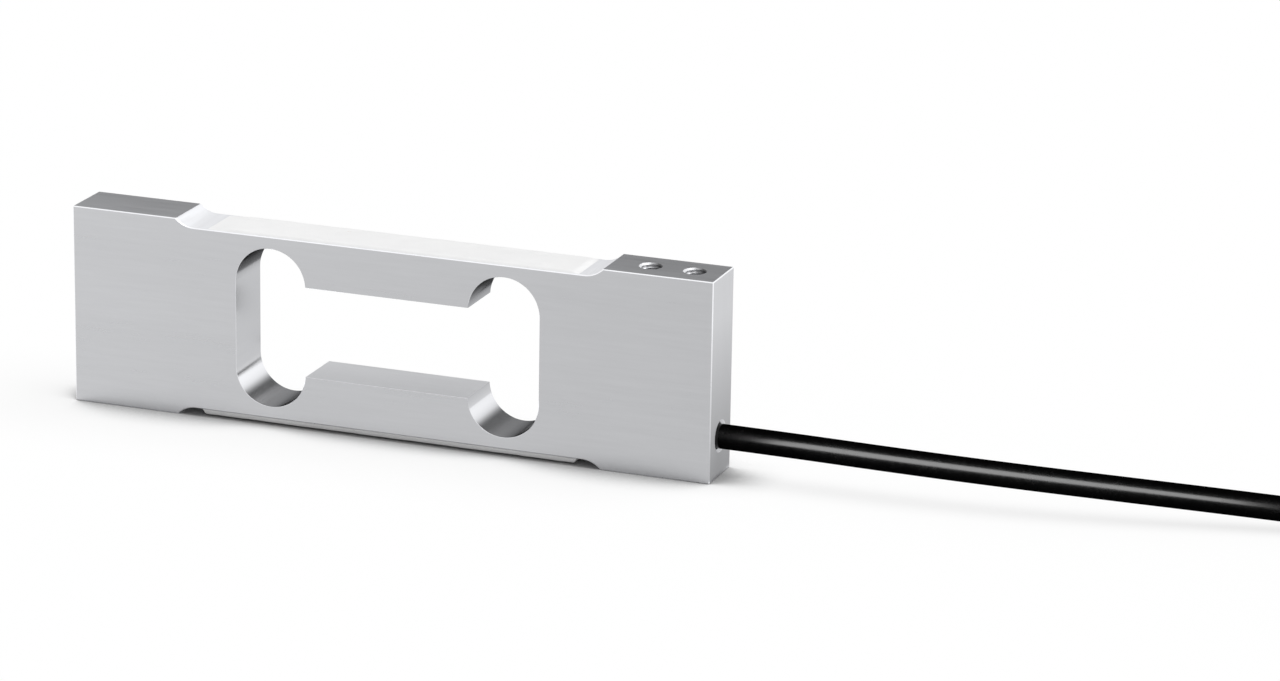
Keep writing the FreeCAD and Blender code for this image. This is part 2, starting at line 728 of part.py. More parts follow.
def shield_braid():
    """The stub of the cable's braid that stands out of the cut sheath inside the bore."""
    start = Vector(SHEATH_END_X, 0, CABLE_HEIGHT)
    end = start - Vector(BRAID_LENGTH, 0, 0)
    return rod(BRAID_RADIUS, start, end).cut(rod(BRAID_RADIUS - BRAID_WALL, start, end))


def entry_sealant(contents):
    """The potting that fills the bore round the cable, up to its countersink."""
    mouth = ENTRY_MOUTH_DIAMETER / 2 - ENTRY_RADIUS
    outer = Vector(HALF_LENGTH - mouth, 0, CABLE_HEIGHT)
    inner = Vector(HALF_LENGTH - ENTRY_DEPTH, 0, CABLE_HEIGHT)
    return rod(ENTRY_RADIUS, inner, outer).cut(contents)


# All pieces


def build():
    """Every node by name."""
    nodes = {"spring_body": beam()}
    places = {
        "top_left": (-1, 1, 1),
        "top_right": (1, 1, 1),
        "lower_left": (-1, -1, 1),
        "lower_right": (1, -1, -1),
    }
    for name, (side, up, tab_side) in places.items():
        nodes[f"gauge_carrier_{name}"] = gauge_carrier(side * LOBE_X, up)
        nodes[f"gauge_foil_{name}"] = gauge_foil(side * LOBE_X, up, tab_side)
        wires = upper_gauge_wires(side) if up > 0 else lower_gauge_wires(side)
        nodes[f"gauge_wires_{name}"] = Part.makeCompound(wires)
    jumpers = [s for name in places for s in nodes[f"gauge_wires_{name}"].Solids]
    for colour, (across, level) in core_places().items():
        nodes[f"core_{colour}"] = inner_core(across, level)
    tips = inner_core_tips()
    nodes["core_tips"] = Part.makeCompound(tips)
    nodes["gauge_solder"] = Part.makeCompound(tab_solder(jumpers))
    nodes["board_solder"] = Part.makeCompound(board_solder(jumpers + tips))
    nodes["trim_board"] = trim_board()
    nodes["board_pads"] = Part.makeCompound(board_pads())
    nodes["trim_resistors"] = Part.makeCompound(trim_resistors())
    buried = [solid for name, shape in nodes.items() if name != "spring_body" for solid in shape.Solids]
    upper = [s for s in buried if s.BoundBox.ZMax > BEAM_HEIGHT / 2]
    lower = [s for s in buried if s.BoundBox.ZMin < BEAM_HEIGHT / 2]
    nodes["coat_top"] = coat(1, TOP_COAT_THICKNESS, upper)
    nodes["coat_lower"] = coat(-1, LOWER_COAT_THICKNESS, lower)
    nodes["cable_sheath"] = tube(sheath_route(), CABLE_RADIUS)
    nodes["shield_braid"] = shield_braid()
    cores = [nodes[f"core_{colour}"] for colour in core_places()]
    filled = [nodes["cable_sheath"], nodes["shield_braid"], *cores]
    nodes["entry_sealant"] = entry_sealant(filled)
    nodes["coil_tie"] = coil_tie()
    nodes["cable_coil"] = cable_coil(nodes["coil_tie"])
    nodes["end_sleeve"] = end_sleeve()
    for index, colour in enumerate(LEAD_COLOURS):
        nodes[f"lead_{colour}"] = lead(index)
    nodes["lead_tips"] = Part.makeCompound(lead_tips())
    return nodes


def report_cable(nodes):
    """Prints the route's radii and compares the tube's volume with its section times its length."""
    path, radii = route(sheath_route())
    print("cable radii", [round(radius, 1) for radius in radii])
    expected = math.pi * CABLE_RADIUS**2 * path.Length
    share = nodes["cable_sheath"].Volume / expected
    print("cable run", round(path.Length, 2), "volume share", round(share, 5))
    tail, tail_radii = route(tail_route())
    print("tail radii", [round(radius, 1) for radius in tail_radii], "length", round(tail.Length, 1))


def main():
    """Builds every piece and writes one STEP file for each."""
    os.makedirs("parts", exist_ok=True)
    nodes = build()
    for name, shape in nodes.items():
        shape.exportStep(f"parts/{name}.step")
    report_cable(nodes)


main()
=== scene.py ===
import json
import logging
import math
from collections.abc import Callable, Sequence
from dataclasses import dataclass
from enum import Enum
from functools import partial

import bpy
from mathutils import Matrix, Vector

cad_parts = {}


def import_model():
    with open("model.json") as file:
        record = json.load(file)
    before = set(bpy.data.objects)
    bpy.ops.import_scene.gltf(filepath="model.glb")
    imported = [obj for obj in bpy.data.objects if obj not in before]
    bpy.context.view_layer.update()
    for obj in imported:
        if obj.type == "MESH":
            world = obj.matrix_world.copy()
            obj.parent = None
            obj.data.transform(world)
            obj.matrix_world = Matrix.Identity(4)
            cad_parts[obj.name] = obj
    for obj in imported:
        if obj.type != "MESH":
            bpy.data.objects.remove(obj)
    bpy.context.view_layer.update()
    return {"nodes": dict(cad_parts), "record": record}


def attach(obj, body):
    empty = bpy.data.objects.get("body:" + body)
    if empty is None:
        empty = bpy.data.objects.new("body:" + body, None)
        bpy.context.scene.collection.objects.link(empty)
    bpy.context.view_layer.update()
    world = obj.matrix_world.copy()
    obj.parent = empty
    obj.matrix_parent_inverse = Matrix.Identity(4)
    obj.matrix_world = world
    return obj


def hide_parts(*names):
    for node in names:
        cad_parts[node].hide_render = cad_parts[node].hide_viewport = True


# A single point load cell, dressed: a machined aluminium beam with a bone-shaped window, white silicone over
# its gauge recesses and a black signal cable, on a white floor. Metres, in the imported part's own frame.

LOG = logging.getLogger("load_cell")
MM = 0.001
SEAM_GAP = 0.001 * MM
WHITE = (1.0, 1.0, 1.0, 1.0)
Pair = tuple[float, float]
Point = tuple[float, float, float]
Piece = bpy.types.Object
Tree = bpy.types.NodeTree
Socket = bpy.types.NodeSocket


class Finish(Enum):
    """The finishes of the visible faces, by what makes them."""

    MILLED_SIDE = "milled_side"
    MILLED_END = "milled_end"
    GROUND_PAD = "ground_pad"
    MILLED_RECESS = "milled_recess"
    BORED_LOBE = "bored_lobe"
    MILLED_SLOT = "milled_slot"
    BROKEN_EDGE = "broken_edge"
    TAPPED_HOLE = "tapped_hole"


# Operators


def deselect() -> None:
    """Goes back to object mode and deselects every object."""
    if bpy.context.object is not None and bpy.context.object.mode != "OBJECT":
        bpy.ops.object.mode_set(mode="OBJECT")
    bpy.ops.object.select_all(action="DESELECT")


def activate(piece: Piece) -> None:
    """Makes a piece the only selected and the active object.

    Args:
        piece: The object that the next operators act on.
    """
    deselect()
    piece.select_set(True)
    bpy.context.view_layer.objects.active = piece


def named(name: str) -> Piece:
    """Names the object that an operator has just added.

    Args:
        name: The piece's new name.

    Returns:
        The active object.
    """
    piece = bpy.context.active_object
    piece.name = name
    piece.data.name = name
    return piece


def settle(piece: Piece) -> Piece:
    """Puts a piece's place, turn and size into its mesh.

    Args:
        piece: A mesh object.

    Returns:
        The same object, at the origin.
    """
    activate(piece)
    bpy.ops.object.transform_apply(location=True, rotation=True, scale=True)
    return piece


def block(name: str, low: Point, high: Point) -> Piece:
    """Adds a box between two corners, given in millimetres.

    Args:
        name: The box's name.
        low: Its lowest corner.
        high: Its highest corner.

    Returns:
        The box, with its place in its mesh.
    """
    deselect()
    middle = [(a + b) / 2 * MM for a, b in zip(low, high)]
    size = [(b - a) * MM for a, b in zip(low, high)]
    bpy.ops.mesh.primitive_cube_add(size=1, location=middle, scale=size)
    return settle(named(name))


def drill(name: str, radius: float, start: Point, end: Point, vertices: int) -> Piece:
    """Adds a round bar between two points, given in millimetres.

    Args:
        name: The bar's name.
        radius: Its radius.
        start: The middle of its first end.
        end: The middle of its other end.
        vertices: The number of its long edges.

    Returns:
        The bar, with its place in its mesh.
    """
    deselect()
    axis = Vector(end) - Vector(start)
    turn = axis.to_track_quat("Z", "Y").to_euler()
    middle = (Vector(end) + Vector(start)) / 2 * MM
    bpy.ops.mesh.primitive_cylinder_add(
        vertices=vertices, radius=radius * MM, depth=axis.length * MM, location=middle, rotation=turn
    )
    return settle(named(name))


def modify(piece: Piece, kind: str, **settings: object) -> None:
    """Adds a modifier and applies it.

    Args:
        piece: The object to change.
        kind: The modifier's type.
        settings: Its properties by name.
    """
    activate(piece)
    modifier = piece.modifiers.new(kind.lower(), kind)
    for key, value in settings.items():
        setattr(modifier, key, value)
    bpy.ops.object.modifier_apply(modifier=modifier.name)


def cut(piece: Piece, other: Piece) -> None:
    """Cuts another solid out of a piece and removes that solid.

    Args:
        piece: The piece that stays.
        other: The solid that is used up.
    """
    modify(piece, "BOOLEAN", operation="DIFFERENCE", solver="EXACT", object=other)
    mesh = other.data
    bpy.data.objects.remove(other)
    bpy.data.meshes.remove(mesh)


def chamfer(piece: Piece, width: float, chosen: Callable[[Vector, Vector], bool]) -> None:
    """Bevels the edges that a test picks by their two ends.

    Args:
        piece: The piece to change.
        width: The bevel's width in millimetres.
        chosen: True for an edge's two end points when the edge is to be bevelled.
    """
    mesh = piece.data
    name = "bevel_weight_edge"
    weights = mesh.attributes.get(name) or mesh.attributes.new(name, "FLOAT", "EDGE")
    for edge in mesh.edges:
        ends = [mesh.vertices[index].co / MM for index in edge.vertices]
        weights.data[edge.index].value = float(chosen(*ends))
    settings = {"limit_method": "WEIGHT", "use_clamp_overlap": False, "miter_outer": "MITER_SHARP"}
    modify(piece, "BEVEL", width=width * MM, **settings)


def round_edges(piece: Piece, width: float, segments: int) -> None:
    """Rounds a piece's sharp edges with a bevel of a width in millimetres and a number of facets."""
    sharp = {"limit_method": "ANGLE", "angle_limit": math.radians(60)}
    modify(piece, "BEVEL", width=width * MM, segments=segments, **sharp)


def edit(piece: Piece, *steps: Callable[[], object]) -> None:
    """Runs each step on the whole of a piece's mesh, in edit mode.

    Args:
        piece: The mesh to change.
        steps: The operators, ready to be called.
    """
    activate(piece)
    bpy.ops.object.mode_set(mode="EDIT")
    for step in steps:
        bpy.ops.mesh.select_all(action="SELECT")
        step()
    bpy.ops.object.mode_set(mode="OBJECT")


def face_out() -> None:
    """Turns the chosen faces outwards."""
    bpy.ops.mesh.normals_make_consistent(inside=False)


def weld(piece: Piece) -> None:
    """Merges the vertices that a cut leaves in one place."""
    edit(piece, partial(bpy.ops.mesh.remove_doubles, threshold=SEAM_GAP / 2))


def smooth(piece: Piece, degrees: float = 30.0) -> None:
    """Shades a piece smooth, except at edges sharper than an angle."""
    activate(piece)
    bpy.ops.object.shade_smooth_by_angle(angle=math.radians(degrees))


def skin(name: str, columns: int, rows: int, place: Callable[[float, float], Point]) -> Piece:
    """Lays a grid over a shape, joins its seams and closes its ends.

    Args:
        name: The piece's name.
        columns: The number of faces across.
        rows: The number of faces along.
        place: The point, in millimetres, for a share across and a share along.

    Returns:
        The closed piece, with its faces outwards.
    """
    deselect()
    bpy.ops.mesh.primitive_grid_add(x_subdivisions=columns, y_subdivisions=rows, size=1)
    piece = named(name)
    for vertex in piece.data.vertices:
        vertex.co = [value * MM for value in place(vertex.co.x + 0.5, vertex.co.y + 0.5)]
    join_seams = partial(bpy.ops.mesh.remove_doubles, threshold=SEAM_GAP)
    edit(piece, join_seams, partial(bpy.ops.mesh.fill_holes, sides=0), face_out)
    return piece


def join(pieces: Sequence[Piece], name: str) -> Piece:
    """Joins separate solids into one piece.

    Args:
        pieces: The solids. The first one takes in the others.
        name: The piece's name.

    Returns:
        The piece.
    """
    activate(pieces[0])
    for piece in pieces:
        piece.select_set(True)
    bpy.ops.object.join()
    return named(name)


def ease(share: float) -> float:
    """A smooth step from 0 to 1 over a share from 0 to 1."""
    share = min(max(share, 0.0), 1.0)
    return share * share * (3 - 2 * share)


# Materials


def fill(node: bpy.types.Node, inputs: dict[str | int, object]) -> None:
    """Sets or links a node's inputs.

    Args:
        node: The node.
        inputs: For each input, by name or number, its value or the socket that it is linked to.
    """
    for key, value in inputs.items():
        if isinstance(value, Socket):
            node.id_data.links.new(value, node.inputs[key])
        else:
            node.inputs[key].default_value = value


def add_node(
    tree: Tree, kind: str, inputs: dict[str | int, object] | None = None, **settings: object
) -> bpy.types.Node:
    """Adds a shader node.

    Args:
        tree: The node tree.
        kind: The node's type, without the word ShaderNode before it.
        inputs: For each input, by name or number, its value or the socket that it is linked to.
        settings: The node's properties by name.

    Returns:
        The new node.
    """
    node = tree.nodes.new(f"ShaderNode{kind}")
    for key, value in settings.items():
        setattr(node, key, value)
    fill(node, inputs or {})
    return node


def maths(tree: Tree, operation: str, *values: object, clamp: bool = False) -> Socket:
    """Adds a maths node on values or sockets and gives its result."""
    node = add_node(tree, "Math", dict(enumerate(values)), operation=operation, use_clamp=clamp)
    return node.outputs["Value"]


def remap(tree: Tree, value: Socket, span: Pair, onto: Pair = (0.0, 1.0), kind: str = "LINEAR") -> Socket:
    """Adds a node that maps one span of a value onto another, and gives its result."""
    inputs = {"Value": value, "From Min": span[0], "From Max": span[1], "To Min": onto[0], "To Max": onto[1]}
    return add_node(tree, "MapRange", inputs, interpolation_type=kind).outputs["Result"]


def coordinate(tree: Tree, axis: str, source: str = "Object") -> Socket:
    """Adds the nodes for one axis of a texture coordinate and gives its value."""
    place = add_node(tree, "TexCoord").outputs[source]
    return add_node(tree, "SeparateXYZ", {"Vector": place}).outputs[axis]


def show_mix(tree: Tree, share: Socket, first: bpy.types.Node, second: bpy.types.Node, output: str) -> None:
    """Puts two shaders on a tree's output, mixed by the second one's share."""
    mix = add_node(tree, "MixShader", {0: share, 1: first.outputs[0], 2: second.outputs[0]})
    fill(tree.nodes[output], {"Surface": mix.outputs["Shader"]})


def grey(tone: float) -> tuple[float, float, float, float]:
    """An opaque grey."""
    return (tone, tone, tone, 1.0)


def streak_group() -> Tree:
    """Builds the shared group for tool marks: fine lines along one direction, with soft clouds over them,
    about a middle tone that carries the finish's painted light.

    Returns:
        The node group.
    """
    group = bpy.data.node_groups.new("tool_marks", "ShaderNodeTree")
    sockets = (
        ("INPUT", "NodeSocketVector", ("Vector",)),
        ("INPUT", "NodeSocketColor", ("Dark", "Light")),
        ("INPUT", "NodeSocketFloat", ("Lines", "Clouds", "Roughness", "Spread", "Contrast", "Middle")),
        ("OUTPUT", "NodeSocketColor", ("Color",)),
        ("OUTPUT", "NodeSocketFloat", ("Roughness", "Height")),
    )
    for direction, kind, names in sockets:
        for name in names:
            group.interface.new_socket(name=name, in_out=direction, socket_type=kind)
    noise_span = (0.32, 0.68)
    entry = group.nodes.new("NodeGroupInput").outputs
    leave = group.nodes.new("NodeGroupOutput")
    place = entry["Vector"]
    lines = add_node(group, "TexNoise", {"Vector": place, "Scale": 1.0, "Detail": 5.0, "Roughness": 0.65})
    clouds = add_node(group, "TexNoise", {"Vector": place, "Scale": 0.09, "Detail": 3.0})
    both = maths(group, "MULTIPLY", lines.outputs["Fac"], entry["Lines"])
    both = maths(group, "MULTIPLY_ADD", clouds.outputs["Fac"], entry["Clouds"], both)
    share = maths(group, "DIVIDE", both, maths(group, "ADD", entry["Lines"], entry["Clouds"]))
    centred = maths(group, "SUBTRACT", remap(group, share, noise_span), 0.5)
    tone = maths(group, "MULTIPLY_ADD", centred, entry["Contrast"], entry["Middle"], clamp=True)
    ends = {"Factor": tone, "A": entry["Dark"], "B": entry["Light"]}
    colour = add_node(group, "Mix", ends, data_type="RGBA")
    rough = maths(group, "MULTIPLY_ADD", centred, entry["Spread"], entry["Roughness"])
    fill(leave, {"Color": colour.outputs["Result"], "Roughness": rough, "Height": share})
    return group


@dataclass(frozen=True)
class SurfaceFinish:
    """A finish: a base colour that varies with its marks and with painted light along one axis, and how it
    shines.
    """

    name: str
    dark: Point
    light: Point
    roughness: float
    metallic: float = 0.0
    spread: float = 0.08
    scale: Point = (200.0, 200.0, 200.0)
    lines: float = 1.0
    clouds: float = 0.5
    bump: float = 0.05
    bump_depth: float = 0.00001
    specular: float = 0.5
    edge_tint: float = 1.0
    contrast: float = 1.0
    drift: float = 0.0
    drift_along: str = "Object"
    drift_span: Pair = (-0.075, 0.075)

    def make(self, group: Tree) -> bpy.types.Material:
        """Builds the material.

        Args:
            group: The shared group of marks.

        Returns:
            The material, with the group's colour, roughness and height on its shader.
        """
        material = bpy.data.materials.new(self.name)
        material.use_nodes = True
        tree = material.node_tree
        place = add_node(tree, "TexCoord").outputs["Object"]
        mapping = add_node(tree, "Mapping", {"Vector": place, "Scale": self.scale})
        # The painted light: the tone's middle goes from light to dark along one axis of the object, or with
        # the surface's direction.
        along = coordinate(tree, "X", self.drift_along)
        inputs = {
            "Vector": mapping.outputs["Vector"],
            "Lines": self.lines,
            "Clouds": self.clouds,
            "Dark": (*self.dark, 1.0),
            "Light": (*self.light, 1.0),
            "Roughness": self.roughness,
            "Spread": self.spread,
            "Contrast": self.contrast,
            "Middle": remap(tree, along, self.drift_span, (0.5 + self.drift, 0.5 - self.drift)),
        }
        marks = add_node(tree, "Group", inputs, node_tree=group).outputs
        relief = {"Strength": self.bump, "Distance": self.bump_depth, "Height": marks["Height"]}
        shading = {
            "Base Color": marks["Color"],
            "Roughness": marks["Roughness"],
            "Normal": add_node(tree, "Bump", relief).outputs["Normal"],
            "Metallic": self.metallic,
            "Specular IOR Level": self.specular,
            "Specular Tint": grey(self.edge_tint),
        }
        fill(tree.nodes["Principled BSDF"], shading)
        return material


def metal(
    name: str, tone: float, roughness: float, scale: Point, vary: float = 0.025, **more: float
) -> SurfaceFinish:
    """A bare aluminium finish, slightly blue, whose colour varies about a tone.

    Args:
        name: The material's name.
        tone: Its middle brightness, linear.
        roughness: Its middle roughness.
        scale: How fine its marks are along each axis.
        vary: How far the colour goes from its tone, as a share of it.
        more: Other fields of the finish.

    Returns:
        The finish.
    """
    blue = (0.985, 0.993, 1.02)
    dark, light = (tuple(tone * part * share for part in blue) for share in (1 - vary, 1 + vary))
    return SurfaceFinish(name, dark, light, roughness, scale=scale, **{"metallic": 1.0, **more})


ALUMINIUM = {
    # The milled sides carry painted light: lighter towards the left end of the beam and darker towards the
    # right.
    Finish.MILLED_SIDE: metal(
        "aluminium_milled_side_painted_light", 0.565, 0.3, (60, 900, 900), 0.1, clouds=0.9, edge_tint=0.6,
        contrast=0.45, drift=0.36,
    ),
    Finish.MILLED_END: metal("aluminium_milled_end", 0.63, 0.42, (900, 900, 60), edge_tint=0.9),
    Finish.GROUND_PAD: metal("aluminium_ground_pad", 0.57, 0.36, (60, 1200, 1200), edge_tint=0.22),
    Finish.MILLED_RECESS: metal("aluminium_milled_recess", 0.79, 0.5, (900, 40, 900)),
    Finish.BORED_LOBE: metal("aluminium_bored_lobe", 0.8, 0.14, (700, 25, 700), spread=0.06, edge_tint=0.1),
    Finish.MILLED_SLOT: metal("aluminium_milled_slot", 0.72, 0.4, (60, 900, 900), edge_tint=1.0),
    Finish.BROKEN_EDGE: metal("aluminium_broken_edge", 0.95, 0.3, (400, 400, 400)),
    # The tapped holes and the cable's bore carry painted light and shade: walls that face +X are painted
    # light, walls that face -X dark.
    Finish.TAPPED_HOLE: metal(
        "aluminium_tapped_hole_painted_light", 0.45, 0.35, (400, 400, 400), 0.8, metallic=0.35, contrast=0.05,
        drift=-0.5, drift_along="Normal", drift_span=(-0.35, 0.45),
    ),
}

PLAIN = {
    "silicone_coat": SurfaceFinish(
        "silicone_film", (0.84, 0.84, 0.842), (0.88, 0.88, 0.88), 0.38, scale=(180, 180, 180), bump=0.15
    ),
    "cable_jacket": SurfaceFinish(
        "polyurethane_jacket", (0.001, 0.001, 0.0012), (0.002, 0.002, 0.0022), 0.25, scale=(900, 900, 900),
        specular=0.25,
    ),
    "tie_nylon": SurfaceFinish("natural_nylon", (0.66, 0.65, 0.6), (0.74, 0.73, 0.69), 0.42),
    "shrink_sleeve": SurfaceFinish("heat_shrink", (0.008, 0.008, 0.009), (0.016, 0.016, 0.017), 0.5),
    "sealant": SurfaceFinish("potting_resin", (0.6, 0.6, 0.59), (0.72, 0.72, 0.71), 0.35),
    "tinned_copper": SurfaceFinish("tinned_strand", (0.6, 0.6, 0.59), (0.7, 0.7, 0.69), 0.28, metallic=1.0),
    "board_laminate": SurfaceFinish("green_laminate", (0.03, 0.15, 0.07), (0.05, 0.2, 0.09), 0.4),
    "copper_foil": SurfaceFinish("bare_copper", (0.72, 0.38, 0.24), (0.8, 0.45, 0.3), 0.3, metallic=1.0),
    "resistor_ceramic": SurfaceFinish("glazed_chip", (0.02, 0.02, 0.022), (0.035, 0.035, 0.037), 0.3),
    "carrier_film": SurfaceFinish("amber_polyimide", (0.5, 0.26, 0.05), (0.6, 0.34, 0.08), 0.25),
    "gauge_foil": SurfaceFinish("constantan_foil", (0.58, 0.47, 0.36), (0.68, 0.57, 0.44), 0.3, metallic=1.0),
    "enamelled_wire": SurfaceFinish("enamelled_copper", (0.42, 0.12, 0.04), (0.52, 0.17, 0.05), 0.25),
    "solder": SurfaceFinish("bright_solder", (0.66, 0.66, 0.66), (0.76, 0.76, 0.76), 0.2, metallic=1.0),
    "core_red": SurfaceFinish("red_insulation", (0.42, 0.018, 0.012), (0.5, 0.024, 0.016), 0.4),
    "core_black": SurfaceFinish("black_insulation", (0.012, 0.012, 0.013), (0.018, 0.018, 0.019), 0.4),
    "core_green": SurfaceFinish("green_insulation", (0.015, 0.2, 0.05), (0.02, 0.26, 0.065), 0.4),
    "core_white": SurfaceFinish("white_insulation", (0.7, 0.7, 0.68), (0.78, 0.78, 0.76), 0.4),
    "core_yellow": SurfaceFinish("yellow_insulation", (0.62, 0.42, 0.02), (0.7, 0.5, 0.03), 0.4),
}


@dataclass
class Paint:
    """Every finish's material, made once."""

    metals: dict[Finish, bpy.types.Material]
    plain: dict[str, bpy.types.Material]

    @classmethod
    def mix(cls) -> "Paint":
        """Builds every material from the finishes above."""
        group = streak_group()
        metals = {kind: finish.make(group) for kind, finish in ALUMINIUM.items()}
        plain = {slot: finish.make(group) for slot, finish in PLAIN.items()}
        return cls(metals, plain)

    def dress(self, piece: Piece, slot: str) -> None:
        """Gives a piece the material of its slot, where that is one finish all over.

        Args:
            piece: The piece or CAD node.
            slot: The record's material slot.
        """
        if slot in self.plain:
            piece.data.materials.clear()
            piece.data.materials.append(self.plain[slot])

    def place(self, piece: Piece, slot: str, *nodes: str) -> None:
        """Dresses a finished piece and puts it on the part, in place of its CAD nodes.

        Args:
            piece: The piece.
            slot: The record's material slot that it takes its finish from.
            nodes: The CAD nodes that it stands for.
        """
        self.dress(piece, slot)
        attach(piece, "root")
        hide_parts(*nodes)
        LOG.info("%s stands for %s", piece.name, ", ".join(nodes))


# The beam


@dataclass
class SpringBeam:
    """The machined beam. Sizes are in millimetres."""

    paint: Paint
    half_length: float = 75.0
    half_width: float = 6.5
    height: float = 45.0
    pad_length: float = 25.0
    recess: float = 1.8
    cutter_radius: float = 6.0
    edge: float = 0.2
    lobe_radius: float = 8.3
    lobe_x: float = 27.4
    web: float = 2.65
    slot_height: float = 20.4
    lip: float = 0.06
    tap_end_distance: float = 6.5
    tap_spacing: float = 10.0
    tap_depth: float = 14.0
    minor_radius: float = 2.1
    major_radius: float = 2.5
    mouth_radius: float = 2.58
    relief_depth: float = 0.1
    thread_pitch: float = 0.8
    cable_height: float = 9.0
    bore_radius: float = 3.0
    bore_depth: float = 22.0
    bore_mouth_radius: float = 3.6
    raceway_radius: float = 1.8
    raceway_x: float = 40.5
    overrun: float = 3.0
    round_facets: int = 128
    bore_facets: int = 64
    raceway_facets: int = 48

    @property
    def lobe_rise(self) -> float:
        """How far the lobes' axes are over and under the middle of the beam."""
        return self.height / 2 - self.recess - self.web - self.lobe_radius

    @property
    def reach(self) -> float:
        """How far the cutters across the beam go to each side."""
        return self.half_width + self.overrun

    def through(self, x: float, z: float, radius: float, name: str) -> Piece:
        """A round cutter across the beam, by its axis along the beam and above the floor."""
        return drill(name, radius, (x, -self.reach, z), (x, self.reach, z), self.round_facets)

    def cut_recesses(self, beam: Piece) -> None:
        """Mills the recesses on top and below, with their round ramps.

        Args:
            beam: The block.
        """
        ramp = math.sqrt(2 * self.cutter_radius * self.recess - self.recess**2)
        flat_half = self.half_length - self.pad_length - ramp
        for flat, out in ((self.height - self.recess, 1), (self.recess, -1)):
            low, high = sorted((flat, flat + out * 2 * self.cutter_radius))
            cut(beam, block("recess", (-flat_half, -self.reach, low), (flat_half, self.reach, high)))
            axis = flat + out * self.cutter_radius
            for side in (-1, 1):
                cut(beam, self.through(side * flat_half, axis, self.cutter_radius, "ramp"))

    def cut_window(self, beam: Piece) -> None:
        """Mills the bone-shaped window through the beam.

        Args:
            beam: The block.
        """
        middle = self.height / 2
        rise = self.lobe_rise
        wall = self.lobe_x + self.lobe_radius
        into_lobe = 2
        inside = self.lobe_x - self.lobe_radius + into_lobe
        for half, tall in ((wall, rise), (inside, self.slot_height / 2)):
            cut(beam, block("window", (-half, -self.reach, middle - tall), (half, self.reach, middle + tall)))
        for side in (-1, 1):
            for up in (-1, 1):
                cut(beam, self.through(side * self.lobe_x, middle + up * rise, self.lobe_radius, "lobe"))

    def thread_cutter(self, x: float, face: float, up: int) -> Piece:
        """A cutter in the shape of a tapped hole: its thread, its point and its countersunk mouth.

        Args:
            x: The hole's axis along the beam.
            face: The height of the face that it opens in.
            up: 1 for a hole that opens upwards, -1 for one that opens downwards.

        Returns:
            The cutter, a closed mesh.
        """
        over = 0.4
        rows_in_a_turn = 10
        flank = 1.3
        relief_slope = 0.8
        rows = round((self.tap_depth + over) / self.thread_pitch * rows_in_a_turn)

        def wall(across: float, along: float) -> Point:
            """A point of the thread's wall, by its shares round the hole and into it."""
            turn = across * math.tau
            depth = along * (self.tap_depth + over) - over
            phase = (depth / self.thread_pitch - across) % 1.0
            runout = ease((self.tap_depth - depth) / self.thread_pitch)
            groove = ease(flank * (1 - abs(2 * phase - 1))) * runout
            radius = self.minor_radius + (self.major_radius - self.minor_radius) * groove
            relief = self.major_radius - relief_slope * max(depth - self.relief_depth, 0.0)
            radius = max(radius, relief, self.mouth_radius - max(depth, 0.0))
            return (x + radius * math.cos(turn), radius * math.sin(turn), face - up * depth)

        return skin("thread", self.bore_facets, rows, wall)

    def cut_holes(self, beam: Piece) -> None:
        """Taps the mounting holes and bores the cable's entry, its passage and the raceway.

        Args:
            beam: The block.
        """
        near = self.half_length - self.tap_end_distance
        for side, face, up in ((1, self.height, 1), (-1, 0.0, -1)):
            for x in (near, near - self.tap_spacing):
                cut(beam, self.thread_cutter(side * x, face, up))
        height = self.cable_height
        end = self.half_length
        inner = end - self.bore_depth
        facets = self.bore_facets
        cut(beam, drill("entry", self.bore_radius, (inner, 0, height), (end + 1, 0, height), facets))
        over = 0.5
        sink = self.bore_mouth_radius - self.bore_radius + 2 * over
        deselect()
        bpy.ops.mesh.primitive_cone_add(
            vertices=facets,
            radius1=(self.bore_mouth_radius + over) * MM,
            radius2=(self.bore_radius - over) * MM,
            depth=sink * MM,
            location=((end + over - sink / 2) * MM, 0, height * MM),
            rotation=(0, -math.pi / 2, 0),
        )
        cut(beam, settle(named("countersink")))
        x, radius, facets = self.raceway_x, self.raceway_radius, self.raceway_facets
        cut(beam, drill("passage", radius, (x, 0, height), (inner + 1, 0, height), facets))
        cut(beam, drill("raceway", radius, (x, 0, -1), (x, 0, self.height + 1), facets))

    def is_rim(self, first: Vector, second: Vector) -> bool:
        """Tells an outer edge of the beam: the side faces' borders and the four corners across it.

        Args:
            first: The edge's one end.
            second: Its other end.

        Returns:
            True for such an edge.
        """
        near = 0.01
        ends = (first, second)
        crosses = abs(first.y - second.y) > 1
        side = all(abs(abs(end.y) - self.half_width) < near for end in ends)
        at_end = all(abs(abs(end.x) - self.half_length) < near for end in ends)
        flat = all(min(abs(end.z), abs(end.z - self.height)) < near for end in ends)
        return (side and not crosses) or (at_end and flat and crosses)

    def is_lip(self, first: Vector, second: Vector) -> bool:
        """Tells an edge of the window in one of the side faces.

        Args:
            first: The edge's one end.
            second: Its other end.

        Returns:
            True for such an edge.
        """
        hair = 0.001
        ends = (first, second)
        side = all(abs(abs(end.y) - self.half_width) < hair for end in ends) and first.y * second.y > 0
        return side and all(self.on_window(end) for end in ends)

    def on_window(self, point: Vector) -> bool:
        """Tells whether a point is on the window's outline.

        Args:
            point: The point, in millimetres.

        Returns:
            True for such a point.
        """
        near, beside = 0.02, 0.5
        x, z = abs(point.x), abs(point.z - self.height / 2)
        if abs(x - self.lobe_x - self.lobe_radius) < near and z < self.lobe_rise + near:
            return True
        if abs(z - self.slot_height / 2) < near and x < self.lobe_x - self.lobe_radius + beside:
            return True
        return abs(math.hypot(x - self.lobe_x, z - self.lobe_rise) - self.lobe_radius) < near

